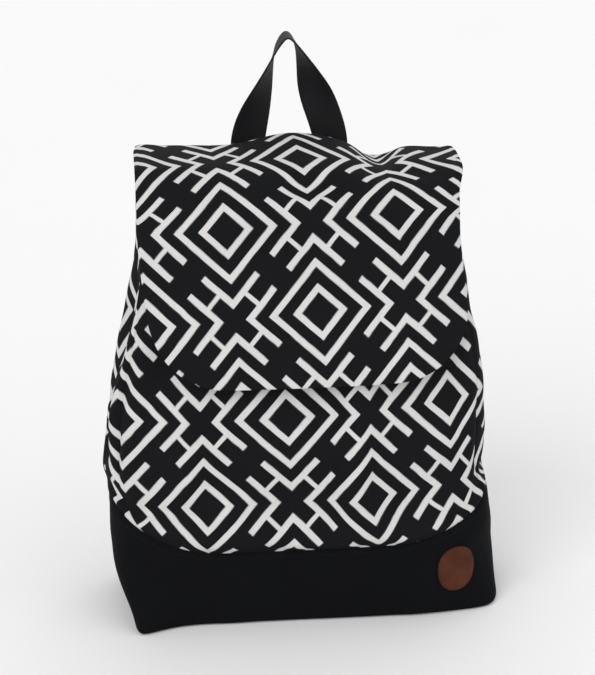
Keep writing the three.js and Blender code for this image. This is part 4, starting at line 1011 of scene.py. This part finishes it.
class Strap:
    """The webbing of one shoulder strap. In its own frame Z runs along the strap and Y away from the back, and its
    hardware leans out."""

    def __init__(self, side, name):
        sideways, climb = STRAP_FOOT[0] - STRAP_TOP[0], STRAP_TOP[1] - STRAP_FOOT[1]
        slant = math.atan2(sideways, climb)
        self.name = name
        self.length = math.hypot(sideways, climb)
        self.origin = np.array([side * STRAP_FOOT[0], BACK_DEPTH, STRAP_FOOT[1]])
        self.across = np.array([math.cos(slant), 0, side * math.sin(slant)])
        self.along = np.array([-side * math.sin(slant), 0, math.cos(slant)])
        self.main = self.main_run()
        self.back_run, self.ends = self.return_run()
        self.loop = self.slider_loop()
        self.tab = self.ring_tab()

    def on_back(self, x, y, z):
        """World points from places in the strap's own frame."""
        x, y, z = np.broadcast_arrays(*np.atleast_1d(x, y, z))
        return self.origin + x[:, None] * self.across + y[:, None] * TO_BACK + z[:, None] * self.along

    def on_hardware(self, y, z, x=0.0):
        """World points from places in the leaning frame of the ring and the hook."""
        y, z = np.asarray(y, float), np.asarray(z, float)
        c, s = math.cos(STRAP_LEAN), math.sin(STRAP_LEAN)
        return self.on_back(x + 0 * y, RING_STANDOFF + c * y + s * z, -s * y + c * z)

    def webbing(self, piece, line):
        return strip(f"{self.name}_{piece}_webbing", line, np.tile(self.across, (len(line), 1)))

    def round_eye(self, first, last):
        """Y and Z of the webbing that goes round the eye's bar, from a first to a last angle."""
        turn = np.linspace(first, last, 14)
        return np.stack([WRAP_RADIUS * np.cos(turn), EYE_BAR_HEIGHT + WRAP_RADIUS * np.sin(turn)], -1)

    def main_run(self):
        """From below the eye's bar up to the seam at the top of the back."""
        rise = np.linspace(EYE_BAR_HEIGHT, STRAP_STRAIGHT, 60)[1:]
        straight = np.stack([WRAP_RADIUS + 0 * rise, rise], -1)
        low = np.concatenate([self.round_eye(-np.pi / 2 + SEAM_GAP / WRAP_RADIUS, 0), straight])
        low = self.on_hardware(low[:, 0], low[:, 1])
        lean = unit(low[-1] - low[-2]) * STRAP_BEND
        top = np.linspace(self.length - STRAP_SEWN, self.length, 10)
        top = self.on_back(0, SEAM_GAP + WEBBING_THICKNESS / 2, top)
        bend = bezier(low[-1], low[-1] + lean, top[0] - self.along * STRAP_BEND, top[0], 40)
        return self.webbing("strap", np.concatenate([low, bend[1:], top[1:]]))

    def return_run(self):
        """From below the eye's bar back up to the slider's loop, and the two points between which it stretches."""
        lead = np.array([SLIDER_PIN + SLIDER_LOOP_RADIUS, SLIDER_HEIGHT - SLIDER_LOOP_LENGTH - SEAM_GAP])
        start = np.array([-WRAP_RADIUS, EYE_BAR_HEIGHT])
        third = (0, (lead[1] - EYE_BAR_HEIGHT) / 3)
        run = bezier(start, start + third, lead - third, lead, 50)
        flat = np.concatenate([self.round_eye(-np.pi / 2 - SEAM_GAP / WRAP_RADIUS, -np.pi), run[1:]])
        ends = self.on_hardware([0, 0], [EYE_BAR_HEIGHT + RETURN_LOW_END, lead[1] - RETURN_HIGH_END])
        return self.webbing("return", self.on_hardware(flat[:, 0], flat[:, 1])), ends

    def slider_loop(self):
        """Round the slider's middle pin, with both tails down to the seam below it."""
        turn = np.linspace(np.pi, 0, 24)
        tail = np.linspace(SLIDER_HEIGHT - SLIDER_LOOP_LENGTH, SLIDER_HEIGHT, 8)[:-1]
        y = SLIDER_PIN + SLIDER_LOOP_RADIUS * np.concatenate([0 * tail - 1, np.cos(turn), 0 * tail + 1])
        z = np.concatenate([tail, SLIDER_HEIGHT + SLIDER_LOOP_RADIUS * np.sin(turn), tail[::-1]])
        return self.webbing("slider", self.on_hardware(y, z))

    def ring_tab(self):
        """Round the ring's bar, with both layers sewn to the back below it."""
        near = SEAM_GAP + WEBBING_THICKNESS / 2
        far = near + WEBBING_THICKNESS + TAB_LAYER_GAP
        seam = TAB_SEWN - TAB_LENGTH
        facing = math.atan2(-seam, RING_STANDOFF - SEAM_GAP - WEBBING_THICKNESS)
        turn = np.linspace(facing + TAB_WRAP, facing - TAB_WRAP, 26)
        round_bar = (TAB_LOOP + WEBBING_THICKNESS / 2) * np.stack([np.cos(turn), np.sin(turn)], -1)

        def layer(y):
            return [(y, -TAB_LENGTH), (y, -TAB_LENGTH + TAB_FOOT), (y, seam - TAB_BEND), (y + TAB_LIFT, seam)]

        flat = np.concatenate([layer(near), round_bar + (RING_STANDOFF, 0), layer(far)[::-1]])
        return self.webbing("tab", self.on_back(0, flat[:, 0], flat[:, 1]))


straps = {name: Strap(side, name) for side, name in ((-1, "left"), (1, "right"))}


# Leather patch, pressed round at its edge and curved with the base

# Rings from the patch's middle to its edge: shares of its radius and of its thickness
PATCH_RINGS = (
    (0.25, 1.0), (0.5, 1.0), (0.75, 1.0), (0.88, 0.99), (0.95, 0.93), (0.985, 0.8), (1.0, 0.55), (1.0, 0.0),
)
PATCH_SIDES, PATCH_STEPS = 64, 20
PLACE_STEP, HEIGHT_STEP = 0.01, 0.002


def surface_at(places, heights):
    """Points of the soft base at pairs of place and height."""
    rows = [np.array([np.interp(places, columns, band[:, j, k]) for j in range(len(all_heights))]) for k in range(3)]
    spots = [[np.interp(heights[i], rows[2][:, i], rows[k][:, i]) for k in range(3)] for i in range(len(places))]
    return np.array(spots)


def tangents(places, heights):
    """How the surface of the base runs with the place and with the height, and its outward normal."""
    right = surface_at(places + PLACE_STEP, heights) - surface_at(places - PLACE_STEP, heights)
    above = surface_at(places, heights + HEIGHT_STEP) - surface_at(places, heights - HEIGHT_STEP)
    return right / (2 * PLACE_STEP), above / (2 * HEIGHT_STEP), unit(np.cross(right, above))


def along_rays(angle):
    """Places and heights [step, 2, angle] on straight walks over the cloth, from the patch's middle to its rim."""
    places, heights = np.full(len(angle), PATCH_PLACE), np.full(len(angle), PATCH_HEIGHT)
    walk = [(places, heights)]
    right, _, outward = tangents(places, heights)
    level = unit(right)
    way = level * np.cos(angle)[:, None] + np.cross(outward, level) * np.sin(angle)[:, None]
    for _ in range(PATCH_STEPS):
        right, above, outward = tangents(places, heights)
        way = unit(way - outward * (way * outward).sum(1, keepdims=True)) * PATCH_RADIUS / PATCH_STEPS
        turn = np.stack([right, above], 2)
        back = turn.transpose(0, 2, 1)
        change = np.linalg.solve(back @ turn, back @ way[..., None])[..., 0]
        places, heights = places + change[:, 0], heights + change[:, 1]
        walk.append((places, heights))
    return np.array(walk)


def leather_disc():
    angle = np.linspace(0, 2 * np.pi, PATCH_SIDES, endpoint=False)
    walk = along_rays(angle)
    points, uv = [], []
    for share, lift in PATCH_RINGS:
        step = min(int(share * PATCH_STEPS), PATCH_STEPS - 1)
        places, heights = walk[step] + (walk[step + 1] - walk[step]) * (share * PATCH_STEPS - step)
        outward = tangents(places, heights)[2]
        points.append(surface_at(places, heights) + outward * (SEAM_GAP + PATCH_THICKNESS * lift))
        uv.append(PATCH_RADIUS * share * np.stack([np.cos(angle), np.sin(angle)], -1))
    flat = np.concatenate([*points, [points[0].mean(axis=0), points[-1].mean(axis=0)]])
    flat_uv = np.concatenate([*uv, [[0, 0], [0, 0]]])
    index = np.arange(len(points) * PATCH_SIDES).reshape(len(points), PATCH_SIDES)
    following = np.roll(index, -1, axis=1)
    faces = np.stack([index[:-1], index[1:], following[1:], following[:-1]], -1).reshape(-1, 4).tolist()
    faces += [[index.size, k, n] for k, n in zip(index[0].tolist(), following[0].tolist())]
    faces += [[index.size + 1, n, k] for k, n in zip(index[-1].tolist(), following[-1].tolist())]
    return add_object("leather_disc", mesh_with_uv("leather_disc", flat, faces, flat_uv), LEATHER)


patch = leather_disc()


# Nickel hardware: the solids' own shapes with rounded, polished edges

METAL_VOXEL, METAL_PASSES, RING_PASSES = 0.00028, 8, 14
EYE_SIDES, BOSS_SIDES, BOSS_RIM = 16, 48, 0.0004


def solid_mesh(node):
    """A merged copy of a solid's mesh."""
    mesh = nodes[node].data.copy()
    shell = bmesh.new()
    shell.from_mesh(mesh)
    bmesh.ops.remove_doubles(shell, verts=shell.verts, dist=1e-6)
    shell.to_mesh(mesh)
    shell.free()
    mesh.materials.clear()
    return mesh


def eye_mesh(strap):
    """The eye above the hook: a bent round bar from the boss that the stem turns in to the width of the webbing."""
    radius = EYE_BAR / 2
    wide, top, foot = WEBBING_WIDTH / 2 + SEAM_GAP + radius, EYE_BAR_HEIGHT, EYE_BASE + radius
    half = [
        (0, top), (0.006, top), (wide - 0.0017, top), (wide - 0.0005, top - 0.0005), (wide, top - 0.0017),
        (wide, foot + 0.0091), (wide - 0.0011, foot + 0.0054), (wide - 0.0037, foot + 0.0023),
        (0.007, foot + 0.0004), (0.0032, foot),
    ]
    line = through_points([(-x, 0, z) for x, z in half[:0:-1]] + [(x, 0, z) for x, z in half], LOOP_POINTS)
    beside = np.cross(unit(np.gradient(line, axis=0)), TO_BACK)
    angle = np.linspace(0, 2 * np.pi, EYE_SIDES, endpoint=False)[None, :, None]
    bar = line[:, None] + radius * (np.cos(angle) * beside[:, None] + np.sin(angle) * TO_BACK)
    bore, rim, edge = STEM_BORE, BOSS_RIM, EYE_BOSS_RADIUS
    profile = [
        (bore, rim), (bore + rim, 0), (edge - rim, 0), (edge, rim),
        (edge, EYE_BAR - rim), (edge - rim, EYE_BAR), (bore + rim, EYE_BAR), (bore, EYE_BAR - rim),
    ]
    turn = np.linspace(0, 2 * np.pi, BOSS_SIDES, endpoint=False)
    boss = np.array([[(r * np.cos(t), r * np.sin(t), EYE_BASE + z) for r, z in profile] for t in turn])
    ring = np.arange(len(turn) * len(profile)).reshape(boss.shape[:2]) + len(line) * EYE_SIDES
    above, ahead = np.roll(ring, -1, axis=1), np.roll(ring, -1, axis=0)
    faces = np.stack([ring, above, np.roll(ahead, -1, axis=1), ahead], -1).reshape(-1, 4).tolist()
    x, y, z = np.concatenate([bar.reshape(-1, 3), boss.reshape(-1, 3)]).T
    mesh = bpy.data.meshes.new("eye")
    mesh.from_pydata(strap.on_hardware(y, z, x).tolist(), [], tube_faces(len(line), EYE_SIDES) + faces)
    shell = bmesh.new()
    shell.from_mesh(mesh)
    bmesh.ops.recalc_face_normals(shell, faces=shell.faces)
    shell.to_mesh(mesh)
    shell.free()
    return mesh


def rounded_metal(node, mesh, passes=METAL_PASSES):
    """A metal piece with rounded edges, of one skin."""
    rough = linked("rough", mesh)
    fine = rough.modifiers.new("fine", "REMESH")
    fine.mode = "VOXEL"
    fine.voxel_size = METAL_VOXEL
    soften = rough.modifiers.new("soften", "SMOOTH")
    soften.factor = 0.5
    soften.iterations = passes
    return add_object(f"{node}_metal", baked(rough), NICKEL)


# Metal parts on each side, and the body that carries them
CARRIERS = {
    "slider": "slider_set",
    "hook_eye": None,
    "hook_body": "hook",
    "hook_gate": "gate",
    "gate_pin": "hook",
    "d_ring": "ring",
}
metal = {}
for name, strap in straps.items():
    for part in CARRIERS:
        node = f"{name}_{part}"
        mesh = eye_mesh(strap) if part == "hook_eye" else solid_mesh(node)
        metal[node] = rounded_metal(node, mesh, RING_PASSES if part == "d_ring" else METAL_PASSES)
for node in ("front_snap", "flap_snap"):
    metal[node] = rounded_metal(node, solid_mesh(node))


# Stitches

STITCH_PITCH, STITCH_LENGTH, THREAD_RADIUS = 0.0034, 0.0026, 0.00036
LOOP_PITCH, LOOP_STITCH, LOOP_ROWS, LOOP_HALF = 0.0022, 0.0018, (0.002, 0.0045), 0.0105

# Distances of the stitches from the flap's root and sides, under the band's seam and under the mouth
ROOT_STITCH, ROOT_LIFT, BAND_STITCH, MOUTH_STITCH = 0.006, 0.0001, 0.0042, 0.008

# Half width of a box of stitches, and how far it is set in from the two ends of sewn webbing
BOX_HALF = 0.0095
HANDLE_BOX, STRAP_BOX, TAB_BOX = (0.0025, 0.002), (0.003, 0.003), (0.0025, 0.0025)


def stitch_tree():
    """Stitches along the edges of a mesh, as small bent grains of thread."""
    tree = bpy.data.node_groups.new("stitch_line", "GeometryNodeTree")
    face = tree.interface
    face.new_socket("Geometry", in_out="INPUT", socket_type="NodeSocketGeometry")
    for label in ("Pitch", "Stitch Length", "Thread Radius"):
        face.new_socket(label, in_out="INPUT", socket_type="NodeSocketFloat")
    face.new_socket("Material", in_out="INPUT", socket_type="NodeSocketMaterial")
    face.new_socket("Geometry", in_out="OUTPUT", socket_type="NodeSocketGeometry")

    def add(kind, settings=None, **inputs):
        made = tree.nodes.new(kind)
        for key, value in (settings or {}).items():
            setattr(made, key, value)
        for key, value in inputs.items():
            socket = made.inputs[key.replace("_", " ")]
            if isinstance(value, bpy.types.NodeSocket):
                tree.links.new(value, socket)
            else:
                socket.default_value = value
        return made

    given = add("NodeGroupInput").outputs
    line = add("GeometryNodeMeshToCurve", Mesh=given["Geometry"]).outputs[0]
    spaced_line = add("GeometryNodeResampleCurve", {"mode": "LENGTH"}, Curve=line, Length=given["Pitch"]).outputs[0]
    grain = add("GeometryNodeMeshUVSphere", Segments=6, Rings=5, Radius=1.0).outputs[0]
    half = add("ShaderNodeMath", {"operation": "MULTIPLY"})
    tree.links.new(given["Stitch Length"], half.inputs[0])
    half.inputs[1].default_value = 0.5
    radius = given["Thread Radius"]
    size = add("ShaderNodeCombineXYZ", X=radius, Y=radius, Z=half.outputs[0]).outputs[0]
    along = add("GeometryNodeInputTangent").outputs[0]
    turned = add("FunctionNodeAlignRotationToVector", {"axis": "Z"}, Vector=along).outputs[0]
    placed = {"Points": spaced_line, "Instance": grain, "Rotation": turned, "Scale": size}
    sewn = add("GeometryNodeInstanceOnPoints", **placed).outputs[0]
    real = add("GeometryNodeRealizeInstances", Geometry=sewn).outputs[0]
    smooth = add("GeometryNodeSetShadeSmooth", Geometry=real).outputs[0]
    done = add("GeometryNodeSetMaterial", Geometry=smooth, Material=given["Material"]).outputs[0]
    tree.links.new(done, add("NodeGroupOutput").inputs[0])
    return tree


STITCHES = stitch_tree()


def sew(name, lines, pitch=STITCH_PITCH, length=STITCH_LENGTH):
    """Stitches along lines of points, as one plain mesh."""
    points, edges = [], []
    for line in lines:
        first = len(points)
        points += line.tolist()
        edges += [(first + k, first + k + 1) for k in range(len(line) - 1)]
    mesh = bpy.data.meshes.new(name)
    mesh.from_pydata(points, edges, [])
    guide = linked("guide", mesh)
    modifier = guide.modifiers.new("stitches", "NODES")
    modifier.node_group = STITCHES
    wanted = {"Pitch": pitch, "Stitch Length": length, "Thread Radius": THREAD_RADIUS, "Material": THREAD}
    for item in STITCHES.interface.items_tree:
        if item.in_out == "INPUT" and item.name in wanted:
            modifier[item.identifier] = wanted[item.name]
    return linked(name, baked(guide))


def ring_on(points, heights, height):
    """A line round the bag at one height."""
    line = np.array([[np.interp(height, heights, column[:, k]) for k in range(3)] for column in points])
    return np.concatenate([line, line[:1]])


def box_stitch(place, y, low, high, insets):
    """A square of stitches with a cross in it, on webbing. place turns x, y and z into world points."""
    left, right, low, high = -BOX_HALF, BOX_HALF, low + insets[0], high - insets[1]
    square = [(left, low), (right, low), (right, high), (left, high), (left, low), (right, high)]
    paths = np.array(square), np.array([(left, high), (right, low)])
    return [place(path[:, 0], y + 0 * path[:, 0], path[:, 1]) for path in paths]


def bag_stitches():
    x = np.linspace(-FLAP_ROOT_HALF_WIDTH + ROOT_STITCH, FLAP_ROOT_HALF_WIDTH - ROOT_STITCH, 80)
    points, outward = flap_face(x, np.full(len(x), FLAP_LENGTH - ROOT_STITCH))
    lines = [
        points + outward * ROOT_LIFT,
        ring_on(band, all_heights, BAND_HEIGHT - BAND_STITCH),
        ring_on(upper, upper_heights, MOUTH_HEIGHT - MOUTH_STITCH),
    ]
    outside = SEAM_GAP + WEBBING_THICKNESS
    for foot in (-HANDLE_HALF_SPAN, HANDLE_HALF_SPAN):

        def on_handle(x, y, z):
            return np.stack([foot + x, y, z], -1)

        lines += box_stitch(on_handle, BACK_DEPTH + outside, MOUTH_HEIGHT - HANDLE_SEWN, MOUTH_HEIGHT, HANDLE_BOX)
    for strap in straps.values():
        lines += box_stitch(strap.on_back, outside, strap.length - STRAP_SEWN, strap.length, STRAP_BOX)
        over_tab = outside + WEBBING_THICKNESS + TAB_LAYER_GAP
        lines += box_stitch(strap.on_back, over_tab, -TAB_LENGTH, TAB_SEWN - TAB_LENGTH, TAB_BOX)
    return sew("bag_stitches", lines)


stitches = bag_stitches()


def loop_stitches(name):
    """Two rows of stitches across the tails of the slider's loop."""
    x = np.array([-LOOP_HALF, LOOP_HALF])
    y = SLIDER_PIN - SLIDER_LOOP_RADIUS - WEBBING_THICKNESS / 2 + 0 * x
    low = SLIDER_HEIGHT - SLIDER_LOOP_LENGTH
    rows = [straps[name].on_hardware(y, low + row + 0 * x, x) for row in LOOP_ROWS]
    return sew(f"{name}_loop_stitches", rows, LOOP_PITCH, LOOP_STITCH)


# Every piece on its body

def settle(piece, body, slot, *replaced):
    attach(piece, body)
    if replaced:
        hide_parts(*replaced)


settle(front_panel, "bag", "printed_canvas", "front_panel")
settle(left_gusset, "bag", "printed_canvas", "left_gusset")
settle(right_gusset, "bag", "printed_canvas", "right_gusset")
settle(back_panel, "bag", "printed_canvas", "back_panel")
settle(base_front, "bag", "base_canvas", "base_front")
settle(base_back, "bag", "base_canvas", "base_back")
settle(base_bottom, "bag", "base_canvas", "base_bottom")
settle(lining, "bag", "lining", "lining")
settle(flap, "bag", "printed_canvas", "flap")
settle(handle, "bag", "webbing", "handle")
settle(patch, "bag", "leather", "leather_patch")
settle(stitches, "bag", "webbing")
settle(metal["front_snap"], "bag", "nickel", "front_snap")
settle(metal["flap_snap"], "bag", "nickel", "flap_snap")
for name, strap in straps.items():
    settle(strap.main, "bag", "webbing", f"{name}_strap")
    settle(strap.tab, "bag", "webbing", f"{name}_ring_tab")
    settle(strap.loop, f"{name}_slider_set", "webbing", f"{name}_slider_loop")
    settle(loop_stitches(name), f"{name}_slider_set", "webbing")
    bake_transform(strap.back_run)
    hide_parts(f"{name}_strap_return")
    for part, carrier in CARRIERS.items():
        body = f"{name}_{carrier}" if carrier else "bag"
        settle(metal[f"{name}_{part}"], body, "nickel", f"{name}_{part}")


# Floor, light and camera

FLOOR_HALF, FLOOR_HEIGHT, AMBIENT = 9.0, -0.0005, 0.62

# Lamps: place, width in degrees and power, and the point that they face
LAMP_AIM = Vector((0, 0, 0.2))
LAMPS = {
    "key": ((-1.1, -1.7, 1.7), 45, 1.1),
    "fill": ((1.6, -1.2, 0.9), 80, 0.5),
    "back": ((0.4, 1.8, 1.5), 60, 0.6),
}

# The photo's viewing angle, slightly from the left and from above, and the height that its frame takes in
AZIMUTH, ELEVATION, ROLL = math.radians(-4.0), math.radians(18.5), math.radians(-1.06)
CAMERA_DISTANCE, FRAME_HEIGHT, SENSOR, FAR_CLIP = 2.2, 0.5483, 36.0, 50.0
MIDDLE_HEIGHT, CENTRE_RIGHT, CENTRE_UP = 0.190, -0.0003, 0.0290


def plain_floor():
    material, start = new_material("pale_floor", Roughness=0.9, Specular_IOR_Level=0.0)
    grain = start.node("ShaderNodeTexCoord", out="Object").noise(3.0)
    feed(material, "Base Color", grain.mix((0.95, 0.95, 0.95, 1), (0.965, 0.965, 0.965, 1)))
    mesh = bpy.data.meshes.new("floor")
    corners = [(x * FLOOR_HALF, y * FLOOR_HALF, 0) for x, y in ((-1, -1), (1, -1), (1, 1), (-1, 1))]
    mesh.from_pydata(corners, [], [(0, 1, 2, 3)])
    mesh.materials.append(material)
    floor = linked("floor", mesh)
    floor.location.z = FLOOR_HEIGHT


def studio_light():
    world = bpy.data.worlds.new("studio")
    scene.world = world
    world.use_nodes = True
    tree = world.node_tree
    rays = tree.nodes.new("ShaderNodeLightPath").outputs
    camera, glossy, through = (Value(tree, rays[f"Is {kind} Ray"]) for kind in ("Camera", "Glossy", "Transmission"))
    seen = camera.most(glossy).most(through)
    background = tree.nodes["Background"]
    background.inputs["Color"].default_value = (1, 1, 1, 1)
    tree.links.new((seen * (1 - AMBIENT) + AMBIENT).socket, background.inputs["Strength"])
    for name, (place, width, power) in LAMPS.items():
        lamp = bpy.data.lights.new(name, "SUN")
        lamp.angle = math.radians(width)
        lamp.energy = power
        holder = linked(name, lamp)
        holder.location = place
        holder.rotation_euler = (LAMP_AIM - Vector(place)).to_track_quat("-Z", "Y").to_euler()


def photo_camera():
    """The camera at the photo's viewing angle, for a frame of 595 by 675 that this script does not set."""
    level = math.cos(ELEVATION)
    back = Vector((math.sin(AZIMUTH) * level, -math.cos(AZIMUTH) * level, math.sin(ELEVATION)))
    facing = (-back).to_track_quat("-Z", "Y")
    aim = Vector((0, 0, MIDDLE_HEIGHT)) + facing @ Vector((CENTRE_RIGHT, CENTRE_UP, 0))
    camera = bpy.data.cameras.new("camera")
    camera.sensor_width = SENSOR
    camera.lens = SENSOR * CAMERA_DISTANCE / FRAME_HEIGHT
    camera.clip_end = FAR_CLIP
    holder = linked("camera", camera)
    holder.rotation_mode = "QUATERNION"
    holder.rotation_quaternion = facing @ Quaternion((0, 0, 1), ROLL)
    holder.location = aim + back * CAMERA_DISTANCE
    scene.camera = holder


plain_floor()
studio_light()
photo_camera()
